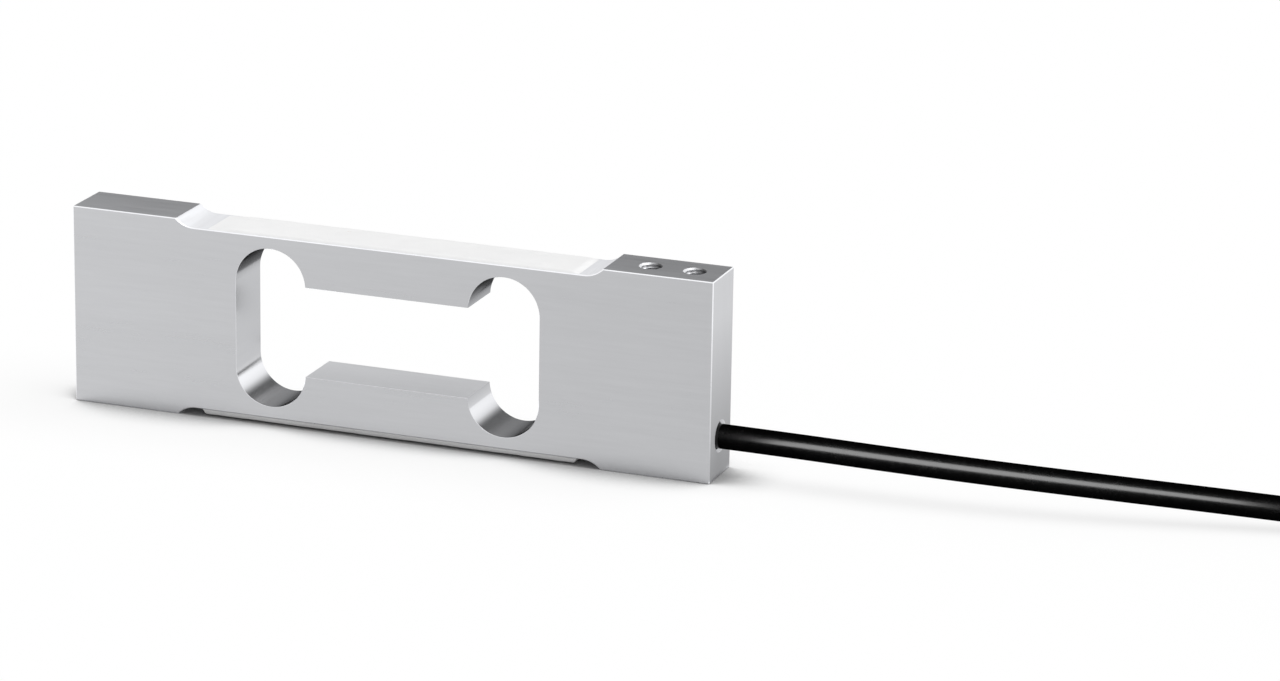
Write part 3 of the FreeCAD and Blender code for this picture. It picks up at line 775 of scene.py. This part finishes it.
    def finish_of(self, middle: Vector, normal: Vector) -> Finish:
        """Which finish a face has.

        Args:
            middle: The face's middle, in millimetres.
            normal: Its outward direction.

        Returns:
            The finish.
        """
        hair, slack, margin, beside, rim, mouth_depth = 0.01, 0.05, 0.4, 0.3, 0.35, 1.3
        square_on, slanted, upright = 0.98, 0.3, 0.99
        x, y, z = abs(middle.x), abs(middle.y), middle.z
        top, end = self.height / 2, self.half_length
        rise = abs(z - top)
        near = end - self.tap_end_distance
        axis = near if x > near - self.tap_spacing / 2 else near - self.tap_spacing
        in_hole = math.hypot(x - axis, y) < self.mouth_radius + hair
        if in_hole and rise > top - self.tap_depth - hair:
            return Finish.TAPPED_HOLE
        if abs(normal.y) > square_on:
            return Finish.MILLED_SIDE
        if x > end - hair:
            return Finish.MILLED_END
        if x > end - mouth_depth and math.hypot(y, z - self.cable_height) < self.bore_mouth_radius:
            return Finish.BROKEN_EDGE
        outside = x > self.lobe_x + self.lobe_radius + margin or rise > top - self.recess - margin
        if abs(normal.y) > slanted and outside:
            return Finish.BROKEN_EDGE
        if abs(normal.z) > upright and rise > top - 2 * hair:
            return Finish.GROUND_PAD
        if x > end - rim and rise > top - rim:
            return Finish.BROKEN_EDGE
        # The cable's bore takes the tapped holes' finish, with its painted light and shade.
        if x > end - self.pad_length:
            return Finish.TAPPED_HOLE
        if rise > top - self.recess - slack:
            return Finish.MILLED_RECESS
        if abs(rise - self.slot_height / 2) < slack and x < self.lobe_x - self.lobe_radius + beside:
            return Finish.MILLED_SLOT
        return Finish.BORED_LOBE

    def build(self) -> None:
        """Models the beam, gives each of its faces its finish and puts it on the part."""
        width = self.half_width
        beam = block("machined_beam", (-self.half_length, -width, 0), (self.half_length, width, self.height))
        self.cut_recesses(beam)
        weld(beam)
        chamfer(beam, self.edge, self.is_rim)
        self.cut_window(beam)
        weld(beam)
        chamfer(beam, self.lip, self.is_lip)
        self.cut_holes(beam)
        weld(beam)
        beam.data.materials.clear()
        order = list(self.paint.metals)
        for material in self.paint.metals.values():
            beam.data.materials.append(material)
        for face in beam.data.polygons:
            face.material_index = order.index(self.finish_of(face.center / MM, face.normal))
        smooth(beam)
        self.paint.place(beam, "beam_aluminium", "spring_body")


# The cable


@dataclass
class SignalCable:
    """The cable: its free run, its coil and the stretch that lies on the coil. Sizes are in millimetres.

    A shift is where the coil moves over by one cable: the degrees swept by then, the degrees that it takes,
    and -1 for inwards or 1 for outwards. A climb is where it goes up: the same two angles.
    """

    paint: Paint
    diameter: float = 5.4
    exit_x: float = 75.0
    start: Point = (57.0, 0.0, 9.0)
    run: tuple[Point, ...] = (
        (87.0, 0.0, 9.0), (116.0, -0.4, 8.75), (141.0, 1.4, 8.1), (164.0, 5.2, 7.0), (184.0, 10.0, 5.55),
        (202.0, 14.1, 4.2), (217.0, 16.4, 2.7), (231.0, 16.4, 2.7), (244.0, 16.4, 2.7),
    )
    coil_x: float = 252.0
    coil_y: float = -16.0
    outer_turn: float = 32.4
    shifts: tuple[tuple[float, float, int], ...] = (
        (180, 180, -1), (540, 180, -1), (1110, 180, 1), (1470, 180, 1), (1770, 120, -1),
    )
    layer_climb: Pair = (870, 120)
    tail_climb: Pair = (1725, 90)
    swept_in_all: int = 1890
    tail_height: float = 13.9
    tail: tuple[Pair, ...] = ((27.0, -25.0), (28.5, -59.0))
    tie_angle: float = 15.0
    tie_lift_spread: float = 22.0
    length: float = 1.1

    def polar(self, radius: float, degrees: float, z: float) -> Point:
        """A point of the coil by its distance and direction from the coil's axis.

        Args:
            radius: The distance.
            degrees: The direction, anticlockwise from +X.
            z: The height.

        Returns:
            The point.
        """
        angle = math.radians(degrees)
        return (self.coil_x + radius * math.cos(angle), self.coil_y + radius * math.sin(angle), z)

    def lift(self, degrees: float) -> float:
        """How far the tie's band lifts the cable in this direction."""
        away = (degrees - self.tie_angle + 180) % 360 - 180
        return math.exp(-((away / self.tie_lift_spread) ** 2))

    def turn(self, swept: float) -> Pair:
        """The coil's winding law: inwards in the lower layer, up, outwards in the upper one, and on top.

        Args:
            swept: Degrees since the cable met the outermost turn.

        Returns:
            The distance from the coil's axis and the height.
        """
        step = self.diameter
        radius = self.outer_turn
        for start, taken, way in self.shifts:
            radius += way * step * ease((swept - start) / taken)
        height = step / 2
        climbs = ((self.layer_climb, step), (self.tail_climb, self.tail_height - 1.5 * step))
        for (start, taken), rise in climbs:
            height += rise * ease((swept - start) / taken)
        return radius, height

    def points(self) -> list[Point]:
        """The route's control points, in millimetres."""
        route = [self.start, *self.run]
        every = 15
        for swept in range(every, self.swept_in_all + 1, every):
            radius, height = self.turn(swept)
            degrees = 90 - swept
            route.append(self.polar(radius, degrees, height + self.lift(degrees)))
        return [*route, *(self.polar(radius, degrees, self.tail_height) for radius, degrees in self.tail)]

    def build(self) -> Piece:
        """Draws the cable on one smooth curve and puts it on the part.

        Returns:
            The cable.
        """
        cable = smooth_line("signal_cable", self.points(), self.diameter / 2, resolution=10)
        self.paint.place(cable, "cable_jacket", "cable_sheath", "cable_coil")
        return cable


def smooth_line(name: str, points: Sequence[Point], radius: float, resolution: int) -> Piece:
    """A round line on a smooth curve through the neighbourhood of its points.

    Args:
        name: The piece's name.
        points: The control points, in millimetres.
        radius: The line's radius, in millimetres.
        resolution: The number of steps between two points.

    Returns:
        The curve object.
    """
    curve = bpy.data.curves.new(name, "CURVE")
    curve.dimensions = "3D"
    curve.resolution_u = resolution
    curve.bevel_depth = radius * MM
    curve.bevel_resolution = 6
    curve.use_fill_caps = True
    spline = curve.splines.new("NURBS")
    spline.points.add(len(points) - 1)
    for place, point in zip(spline.points, points):
        place.co = (*(value * MM for value in point), 1.0)
    spline.order_u = 3
    spline.use_endpoint_u = True
    line = bpy.data.objects.new(name, curve)
    bpy.context.scene.collection.objects.link(line)
    return line


def route_of(line: Piece) -> list[Vector]:
    """The points that Blender draws a curve through, in millimetres.

    Args:
        line: A curve object.

    Returns:
        The points, from its start to its end.
    """
    bare = line.copy()
    bare.data = line.data.copy()
    bare.data.bevel_depth = 0.0
    bpy.context.scene.collection.objects.link(bare)
    bpy.context.view_layer.update()
    mesh = bpy.data.meshes.new_from_object(bare.evaluated_get(bpy.context.evaluated_depsgraph_get()))
    points = [vertex.co / MM for vertex in mesh.vertices]
    curve = bare.data
    bpy.data.objects.remove(bare)
    bpy.data.curves.remove(curve)
    bpy.data.meshes.remove(mesh)
    return points


def point_back(points: Sequence[Vector], distance: float) -> tuple[Vector, Vector]:
    """A point at a distance before the end of a route, or beyond it.

    Args:
        points: The route's points.
        distance: The distance before the end; less than 0 is beyond it.

    Returns:
        The point and the direction of the route there.
    """
    direction = (points[-1] - points[-2]).normalized()
    if distance <= 0:
        return points[-1] - direction * distance, direction
    for before, after in zip(reversed(points[:-1]), reversed(points)):
        step = (after - before).length
        if distance <= step:
            return after.lerp(before, distance / step), (after - before).normalized()
        distance -= step
    return points[0], direction


# The silicone over the gauges


@dataclass
class SiliconeFilm:
    """White silicone, poured over one gauge recess and smoothed by hand. Sizes are in millimetres.

    A wave is its height and how fast it goes along the beam and across it.
    """

    paint: Paint
    name: str
    node: str
    flat: float
    up: int
    thickness: float
    low_x: float
    high_x: float
    low_feather: float
    high_feather: float
    half_width: float = 6.1
    rim: float = 0.7
    gauge_x: float = 27.4
    gauge_swell: float = 0.08
    swell_reach: Pair = (6.0, 3.2)
    waves: tuple[Point, ...] = ((0.02, 0.31, 0.8), (0.015, 0.83, -1.1))
    sunk: float = 0.02

    def level(self, x: float, y: float) -> float:
        """The film's height over the metal.

        Args:
            x: The place along the beam.
            y: The place across it.

        Returns:
            The height, in millimetres.
        """
        from_low = ease((x - self.low_x) / self.low_feather)
        from_high = ease((self.high_x - x) / self.high_feather)
        from_side = math.sqrt(ease((self.half_width - abs(y)) / self.rim))
        along, across = self.swell_reach
        swell = sum(
            math.exp(-(((x - side * self.gauge_x) / along) ** 2) - (y / across) ** 2) for side in (-1, 1)
        )
        wave = sum(high * math.sin(x * by_x + y * by_y) for high, by_x, by_y in self.waves)
        return (self.thickness + self.gauge_swell * swell + wave) * from_low * from_high * from_side

    def build(self) -> None:
        """Pours the film and puts it on the part."""

        def surface(across: float, along: float) -> Point:
            """A point of the film's skin, by its shares across the film and along it."""
            x = self.low_x + (self.high_x - self.low_x) * along
            y = self.half_width * math.sin(math.pi * (across - 0.5))
            return (x, y, self.flat + self.up * (self.level(x, y) - self.sunk))

        film = skin(self.name, columns=28, rows=260, place=surface)
        smooth(film, degrees=60)
        self.paint.place(film, "silicone_coat", self.node)


# The cable's end and its tie


@dataclass
class CableTie:
    """The nylon tie round the coil. Sizes are in millimetres, along the coil's radius and up."""

    paint: Paint
    cable: SignalCable
    inner: float = 18.9
    outer: float = 35.1
    shoulder: float = 11.8
    top: float = 17.6
    top_half: float = 2.2
    corner: float = 1.9
    band_width: float = 4.0
    band: float = 1.0
    head: Point = (4.4, 6.5, 6.0)
    head_low: float = 2.4
    passage: Pair = (0.85, 2.25)
    strip: float = 0.85
    strip_length: float = 5.0
    tooth_pitch: float = 0.9

    def loop(self) -> Piece:
        """The band: a six-sided ring with rounded corners, drawn out to its width."""
        middle = (self.inner + self.outer) / 2
        outline = (
            (self.inner, self.band), (self.outer, self.band), (self.outer, self.shoulder),
            (middle + self.top_half, self.top), (middle - self.top_half, self.top),
            (self.inner, self.shoulder),
        )
        deselect()
        bpy.ops.mesh.primitive_circle_add(vertices=len(outline), radius=1, fill_type="NOTHING")
        band = named("tie_band")
        for vertex, (u, z) in zip(band.data.vertices, outline):
            vertex.co = (u * MM, -self.band_width / 2 * MM, z * MM)
        across = {"value": (0, self.band_width * MM, 0)}
        edit(
            band,
            partial(bpy.ops.mesh.bevel, affect="VERTICES", offset=self.corner * MM, segments=7, profile=0.5),
            partial(bpy.ops.mesh.extrude_region_move, TRANSFORM_OT_translate=across),
            face_out,
        )
        face = band.data.polygons[0]
        core_share = 0.75
        core = Vector((middle, 0, self.shoulder * core_share)) * MM
        outward = face.normal.dot(face.center - core)
        modify(band, "SOLIDIFY", thickness=self.band * MM, offset=1.0 if outward > 0 else -1.0)
        edit(band, face_out)
        round_edges(band, width=0.18, segments=3)
        return band

    def head_block(self) -> Piece:
        """The head: a rounded block with the passage for the strip."""
        depth, width, height = self.head
        near = self.outer + self.band
        low = self.head_low
        bite, play = 0.2, 0.3
        head = block("tie_head", (near - bite, -width / 2, low), (near + depth, width / 2, low + height))
        round_edges(head, width=0.6, segments=4)
        half = self.band_width / 2 + play
        start, end = self.passage
        cut(head, block("passage", (near + start, -half, low - 1), (near + end, half, low + height + 1)))
        return head

    def strip_end(self) -> Piece:
        """The strip's cut end, with its teeth, through the head."""
        below, last_tooth = 0.6, 0.3
        near = self.outer + 2 * self.band
        low = self.head_low - below
        top = self.head_low + self.head[2] + self.strip_length
        half = self.band_width / 2
        strip = block("tie_strip", (near, -half, low), (near + self.strip, half, top))
        round_edges(strip, width=0.15, segments=2)
        teeth = []
        inset, depth, rise, slope = 0.7, 0.3, 0.55, 0.22
        tooth = block("tooth", (near + inset, -half + inset, 0), (near + inset + depth, half - inset, rise))
        for vertex in tooth.data.vertices:
            if vertex.co.x > (near + inset + depth / 2) * MM and vertex.co.z > rise / 2 * MM:
                vertex.co.x -= slope * MM
        place = top - self.tooth_pitch
        while place > low + last_tooth:
            copy = tooth.copy()
            copy.data = tooth.data.copy()
            copy.data.transform(Matrix.Translation((0, 0, place * MM)))
            bpy.context.scene.collection.objects.link(copy)
            teeth.append(copy)
            place -= self.tooth_pitch
        bpy.data.objects.remove(tooth)
        return join([strip, *teeth], "tie_strip")

    def build(self) -> Piece:
        """Models the tie and puts it in its place on the coil.

        Returns:
            The tie.
        """
        tie = join([self.loop(), self.head_block(), self.strip_end()], "cable_tie")
        turn = Matrix.Rotation(math.radians(self.cable.tie_angle), 4, "Z")
        tie.data.transform(Matrix.Translation(Vector(self.cable.polar(0, 0, 0)) * MM) @ turn)
        smooth(tie, degrees=40)
        self.paint.place(tie, "tie_nylon", "coil_tie")
        return tie


def sideways(direction: Vector) -> Vector:
    """The level direction across a route."""
    return Vector((-direction.y, direction.x, 0)).normalized()


def ring_point(centre: Vector, direction: Vector, wide: float, high: float, angle: float) -> Point:
    """A point of the upright ring round a route's point, by the ring's half sizes and an angle."""
    offset = sideways(direction) * (wide * math.cos(angle)) + Vector((0, 0, high * math.sin(angle)))
    return tuple(centre + offset)


@dataclass
class CableEnd:
    """The shrink sleeve on the cable's end and the five leads that come out of it, in millimetres."""

    paint: Paint
    cable: SignalCable
    sleeve_radius: float = 3.08
    overlap: float = 9.0
    cap: float = 3.0
    flattened: Pair = (0.22, 1.95)
    ripple: float = 0.03
    pitch: float = 1.24
    spread: float = 2.4
    lead_radius: float = 0.5
    straight: float = 4.0
    step: float = 24.0
    lead_reach: float = 27.0
    lead_height: float = 11.35
    tip_length: float = 6.0
    tip_overlap: float = 0.8
    strand_radius: float = 0.31
    colours: tuple[tuple[str, str], ...] = (
        ("lead_red", "core_red"), ("lead_black", "core_black"), ("lead_shield", "core_yellow"),
        ("lead_green", "core_green"), ("lead_white", "core_white"),
    )

    def sleeve(self, route: Sequence[Vector]) -> Piece:
        """The heat-shrink sleeve, flattened where it closes on the leads.

        Args:
            route: The cable's drawn points.

        Returns:
            The sleeve.
        """
        wider, lower = self.flattened
        hem = 0.04
        flat_start, flat_length = -0.4, 2.6
        rim_length, rim_draw = 0.25, 0.07
        closing_length, closing_draw = 0.3, 0.12
        wave, wave_bend = 2.4, 1.3
        first_cap, last_cap = 0.9, 0.6

        def surface(across: float, along: float) -> Point:
            """A point of the sleeve's skin, by its shares round the sleeve and along it."""
            share = min(max((along - hem) / (1 - 2 * hem), 0.0), 1.0)
            distance = -self.overlap + (self.overlap + self.cap) * share
            centre, direction = point_back(route, -distance)
            flat = ease((distance - flat_start) / flat_length)
            rim = 1 - rim_draw * (1 - ease((distance + self.overlap) / rim_length))
            closing = 1 - closing_draw * ease((distance - self.cap + closing_length) / closing_length)
            ripple = self.ripple * math.sin(distance * wave + wave_bend * math.cos(across * math.tau))
            scale = rim * closing
            if along < hem / 2:
                scale *= first_cap
            elif along > 1 - hem / 2:
                scale *= last_cap
            wide = (self.sleeve_radius + wider * flat + ripple) * scale
            high = (self.sleeve_radius - lower * flat + ripple) * scale
            return ring_point(centre, direction, wide, high, across * math.tau)

        sleeve = skin("shrink_sleeve", columns=48, rows=60, place=surface)
        smooth(sleeve, degrees=50)
        self.paint.place(sleeve, "shrink_sleeve", "end_sleeve")
        return sleeve

    def lead_route(self, index: int, route: Sequence[Vector]) -> list[Point]:
        """One lead's control points: out of the sleeve, down onto the coil and along it in its own lane.

        Args:
            index: The lead's place across the sleeve, from 0.
            route: The cable's drawn points.

        Returns:
            The points, in millimetres.
        """
        tuck, nose, fan, drop = 1.6, 0.5, 0.49, 0.5
        face, direction = point_back(route, -self.cap)
        lane = (index - len(self.colours) // 2) * self.pitch
        centre = Vector(self.cable.polar(0, 0, face.z))
        angle = math.degrees(math.atan2(face.y - centre.y, face.x - centre.x))
        start = face + sideways(direction) * lane
        inside = start - direction * tuck
        corner = start + direction * (self.straight + lane * fan)
        points = [tuple(inside), tuple(start + direction * nose), (corner.x, corner.y, face.z - drop)]
        for number in (1, 2, 3):
            reach = self.lead_reach + lane * (1 + (self.spread - 1) * number / 3)
            points.append(self.cable.polar(reach, angle - self.step * number, self.lead_height))
        return points

    def strand(self, route: Sequence[Vector], name: str) -> Piece:
        """A lead's stripped end: tinned strands, twisted together.

        Args:
            route: The lead's drawn points.
            name: The strand's name.

        Returns:
            The strand.
        """
        length = self.tip_length + self.tip_overlap
        twist, groove = 9.0, 0.18
        tip_share, tip_draw = 0.07, 0.35

        def surface(across: float, along: float) -> Point:
            """A point of the twisted strands, by its shares round them and along them."""
            centre, direction = point_back(route, self.tip_overlap - length * along)
            angle = across * math.tau
            lobes = abs(math.cos(3 * (angle - along * twist)))
            tip = 1 - tip_draw * ease((along - 1 + tip_share) / tip_share)
            radius = self.strand_radius * (1 - groove + groove * lobes) * tip
            return ring_point(centre, direction, radius, radius, angle)

        return skin(name, columns=36, rows=60, place=surface)

    def build(self, cable: Piece) -> list[Piece]:
        """Models the sleeve, the leads and their stripped ends, and puts them on the part.

        Args:
            cable: The cable's piece.

        Returns:
            The pieces.
        """
        route = route_of(cable)
        pieces = [self.sleeve(route)]
        strands = []
        for index, (name, slot) in enumerate(self.colours):
            points = self.lead_route(index, route)
            lead = smooth_line(f"{name}_line", points, self.lead_radius, resolution=12)
            self.paint.place(lead, slot, name)
            strands.append(self.strand(route_of(lead), f"strand_{index}"))
            pieces.append(lead)
        tips = join(strands, "stripped_ends")
        smooth(tips, degrees=60)
        self.paint.place(tips, "tinned_copper", "lead_tips")
        return [*pieces, tips]


# The studio


@dataclass(frozen=True)
class StudioCamera:
    """The camera, at the photograph's place and angle."""

    place: Point = (0.417407, -0.988679, 0.352241)
    right: Point = (0.93747304, 0.34768413, 0.01612613)
    down: Point = (0.11680583, -0.27062679, -0.95557184)
    forward: Point = (-0.327873, 0.89770646, -0.29431686)
    lens: float = 144.57
    sensor: float = 36.0
    clip: Pair = (0.01, 20.0)

    def build(self) -> None:
        """Adds the camera and makes it the scene's."""
        data = bpy.data.cameras.new("studio_camera")
        data.sensor_width = self.sensor
        data.lens = self.lens
        data.clip_start, data.clip_end = self.clip
        camera = bpy.data.objects.new("studio_camera", data)
        bpy.context.scene.collection.objects.link(camera)
        columns = Matrix((self.right, -Vector(self.down), -Vector(self.forward))).transposed()
        camera.matrix_world = Matrix.Translation(self.place) @ columns.to_4x4()
        bpy.context.scene.camera = camera


@dataclass(frozen=True)
class Studio:
    """The white floor, the world, the lamp and the cards that only reflections show. Sizes are in metres."""

    world_strength: float = 0.44
    lamp_strength: float = 2.2
    lamp_angle: float = 60.0
    lamp_from: Point = (0.45, 0.1, 0.9)
    floor_colour: float = 0.94
    floor_white: float = 0.78
    floor_size: float = 8.0
    contact: float = 0.0225
    contact_range: Pair = (0.45, 0.82)
    painted_contact_shadow: float = 0.5
    free_run: Point = (0.074, 0.2, 0.016)
    reflector_low: Point = (-0.75, 1.0, 0.0)
    reflector_high: Point = (0.75, 1.0, 0.62)
    reflector_glow: float = 1.6
    reflector_tones: tuple[Pair, ...] = (
        (-0.75, 0.9), (-0.5, 0.6), (-0.3, 0.4), (-0.121, 0.26), (-0.023, 0.14), (0.077, 0.09),
        (0.266, 0.16), (0.35, 0.39), (0.424, 1.07), (0.48, 1.25), (0.55, 1.45), (0.75, 1.6),
    )
    # Dark cards behind the beam that only reflections show: a low upright one, and one on the floor that is a
    # painted shadow of the beam on the floor behind it.
    flags: tuple[tuple[str, Point, Point, float], ...] = (
        ("upright_flag", (0.0, 0.07, 0.0), (0.03, 0.07, 0.0055), 0.22),
        ("painted_floor_shadow", (-0.07, 0.05, 0.0006), (-0.016, 0.085, 0.0006), 0.34),
    )
    tent_low: Point = (0.0753, -0.034, 0.0005)
    tent_high: Point = (0.235, 0.05, 0.06)
    tent_painted_shade: Pair = (0.47, 1.0)
    tent_rise: float = 0.036
    tent_fade: Pair = (0.202, 0.234)
    strip_low: Point = (0.0765, -0.03, 0.014)
    strip_high: Point = (0.2, -0.03, 0.046)
    strip_glow: float = 14.0
    card_thickness: float = 0.0002

    def shown_rays(self, tree: Tree) -> Socket:
        """Adds the test for camera, glossy and transmission rays.

        Args:
            tree: The node tree of the world or the floor.

        Returns:
            The socket that is 1 for those rays and 0 for others.
        """
        path = add_node(tree, "LightPath").outputs
        first = maths(tree, "MAXIMUM", path["Is Camera Ray"], path["Is Glossy Ray"])
        return maths(tree, "MAXIMUM", first, path["Is Transmission Ray"])

    def build_world(self) -> None:
        """Makes the world white to the eye and in reflections, and dimmer as light."""
        world = bpy.data.worlds.new("studio_world")
        world.use_nodes = True
        bpy.context.scene.world = world
        tree = world.node_tree
        light = tree.nodes["Background"]
        fill(light, {"Color": WHITE, "Strength": self.world_strength})
        seen = add_node(tree, "Background", {"Color": WHITE})
        show_mix(tree, self.shown_rays(tree), light, seen, "World Output")

    def free_run_mask(self, tree: Tree) -> Socket:
        """Adds the mask of the floor under the cable's free run, which touches nothing there.

        Args:
            tree: The floor's node tree.

        Returns:
            The socket that is 1 along that run and 0 elsewhere.
        """
        start, end, soft = self.free_run
        x = coordinate(tree, "X")
        spans = ((start, start + soft), (end + soft, end))
        return maths(tree, "MULTIPLY", *(remap(tree, x, span, kind="SMOOTHSTEP") for span in spans))

    def build_floor(self) -> None:
        """Adds the floor: white to the eye, darker where something shades it, and painted darker where
        something stands on it.
        """
        deselect()
        bpy.ops.mesh.primitive_plane_add(size=self.floor_size, location=(0, 0, 0))
        floor = named("studio_floor")
        material = bpy.data.materials.new("white_floor")
        material.use_nodes = True
        tree = material.node_tree
        near = add_node(tree, "AmbientOcclusion", {"Distance": self.contact}, samples=16)
        clear = remap(tree, near.outputs["AO"], self.contact_range, kind="SMOOTHSTEP")
        bare = maths(tree, "MAXIMUM", clear, self.free_run_mask(tree))
        # Painted contact shadow: near what stands on the floor, its colour is painted down to a darker tone
        # and its white glow is taken away, over the real shadow.
        painted_shadow_tone, far_tone = grey(self.floor_colour * self.painted_contact_shadow), grey(self.floor_colour)
        tones = {"Factor": bare, "A": painted_shadow_tone, "B": far_tone}
        tone = add_node(tree, "Mix", tones, data_type="RGBA").outputs["Result"]
        shader = tree.nodes["Principled BSDF"]
        fill(shader, {"Base Color": tone, "Roughness": 1.0, "Specular IOR Level": 0.0})
        white = maths(tree, "MULTIPLY", self.shown_rays(tree), self.floor_white)
        share = maths(tree, "MULTIPLY", white, bare)
        show_mix(tree, share, shader, add_node(tree, "Emission"), "Material Output")
        floor.data.materials.append(material)

    def add_lamp(self, cable: Piece) -> None:
        """Adds the key light, a wide soft lamp high over the cable's end.

        Args:
            cable: The cable's piece, which the lamp leaves out.
        """
        data = bpy.data.lights.new("key_light", "SUN")
        data.energy = self.lamp_strength
        data.angle = math.radians(self.lamp_angle)
        lamp = bpy.data.objects.new("key_light", data)
        bpy.context.scene.collection.objects.link(lamp)
        shaded = bpy.data.collections.new("out_of_the_lamp")
        shaded.objects.link(cable)
        shaded.collection_objects[0].light_linking.link_state = "EXCLUDE"
        lamp.light_linking.receiver_collection = shaded
        lamp.matrix_world = (-Vector(self.lamp_from)).to_track_quat("-Z", "Y").to_matrix().to_4x4()

    def glowing(self, name: str, strength: float) -> tuple[bpy.types.Material, bpy.types.Node]:
        """A material that only glows.

        Args:
            name: The material's name.
            strength: How brightly.

        Returns:
            The material and its emission node.
        """
        material = bpy.data.materials.new(name)
        material.use_nodes = True
        material.cycles.emission_sampling = "NONE"
        tree = material.node_tree
        tree.nodes.remove(tree.nodes["Principled BSDF"])
        glow = add_node(tree, "Emission", {"Strength": strength})
        fill(tree.nodes["Material Output"], {"Surface": glow.outputs["Emission"]})
        return material, glow

    def card(self, name: str, low: Point, high: Point, material: bpy.types.Material) -> Piece:
        """Stands up or lays down a card between two corners, which reflections alone show.

        Args:
            name: The card's name.
            low: Its lowest corner.
            high: Its highest corner. A flat card has one coordinate in common with the lowest.
            material: Its material.

        Returns:
            The card.
        """
        deselect()
        bpy.ops.mesh.primitive_cube_add(size=1, location=(Vector(low) + Vector(high)) / 2)
        card = named(name)
        card.scale = [max(b - a, self.card_thickness) for a, b in zip(low, high)]
        settle(card)
        card.data.materials.append(material)
        card.visible_camera = False
        card.visible_diffuse = False
        card.visible_transmission = False
        card.visible_shadow = False
        return card

    def add_reflector(self) -> None:
        """Stands up the softbox behind the beam that the bored faces show."""
        low, high = self.reflector_low, self.reflector_high
        material, glow = self.glowing("reflector_bands", self.reflector_glow)
        tree = material.node_tree
        along = remap(tree, coordinate(tree, "X"), (low[0], high[0]))
        ramp = add_node(tree, "ValToRGB", {"Fac": along})
        bands = ramp.color_ramp.elements
        while len(bands) < len(self.reflector_tones):
            bands.new(0.5)
        for band, (x, tone) in zip(bands, self.reflector_tones):
            band.position = (x - low[0]) / (high[0] - low[0])
            band.color = grey(tone / self.reflector_glow)
        fill(glow, {"Color": ramp.outputs["Color"]})
        self.card("studio_reflector", low, high, material)

    def add_tent(self, cable: Piece) -> None:
        """Adds the tent round the cable, with its strip light, which lights nothing else.

        It is black inside up to where it fades out at the coil. Its outside is pale and painted darker below:
        a painted shade that the beam's end face reflects towards its bottom.

        Args:
            cable: The cable's piece.
        """
        cloth, glow = self.glowing("tent_cloth", 1.0)
        tree = cloth.node_tree
        outside = remap(tree, coordinate(tree, "Z"), (0.0, self.tent_rise), self.tent_painted_shade)
        inside = remap(tree, coordinate(tree, "X"), self.tent_fade, kind="SMOOTHSTEP")
        back = add_node(tree, "NewGeometry").outputs["Backfacing"]
        tone = add_node(tree, "Mix", {"Factor": back, "A": outside, "B": inside})
        fill(glow, {"Strength": tone.outputs["Result"]})
        self.card("cable_tent", self.tent_low, self.tent_high, cloth)
        lamp = self.glowing("strip_light", self.strip_glow)[0]
        lamp.cycles.emission_sampling = "AUTO"
        strip = self.card("cable_strip", self.strip_low, self.strip_high, lamp)
        lit = bpy.data.collections.new("lit_by_strip")
        lit.objects.link(cable)
        strip.light_linking.receiver_collection = lit

    def build(self, cable: Piece) -> None:
        """Sets up the whole studio.

        Args:
            cable: The cable, which alone is lit by the strip light.
        """
        bpy.context.scene.view_settings.view_transform = "Standard"
        self.build_world()
        self.build_floor()
        self.add_reflector()
        self.add_tent(cable)
        # The dark cards behind the beam; the one on the floor is a painted shadow that the bored faces
        # reflect.
        for name, low, high, tone in self.flags:
            self.card(name, low, high, self.glowing(f"{name}_cloth", tone)[0])
        self.add_lamp(cable)


def main() -> None:
    """Loads the frame, builds the studio and dresses every piece."""
    logging.basicConfig(level=logging.INFO, format="%(name)s: %(message)s")
    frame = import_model()
    StudioCamera().build()
    paint = Paint.mix()
    for row in frame["record"]["subparts"]:
        paint.dress(frame["nodes"][row["node"]], row["material_slot"])
    signal = SignalCable(paint)
    cable = signal.build()
    Studio().build(cable)
    tie = CableTie(paint, signal).build()
    ends = CableEnd(paint, signal).build(cable)
    SpringBeam(paint).build()
    SiliconeFilm(
        paint, "silicone_film_top", "coat_top", flat=43.2, up=1, thickness=0.42, low_x=-43.5, high_x=44.7,
        low_feather=7.0, high_feather=2.0,
    ).build()
    SiliconeFilm(
        paint, "silicone_film_lower", "coat_lower", flat=1.8, up=-1, thickness=1.36, low_x=-44.7,
        high_x=44.7, low_feather=1.2, high_feather=1.2, half_width=5.9, rim=0.45,
    ).build()


if __name__ == "__main__":
    main()
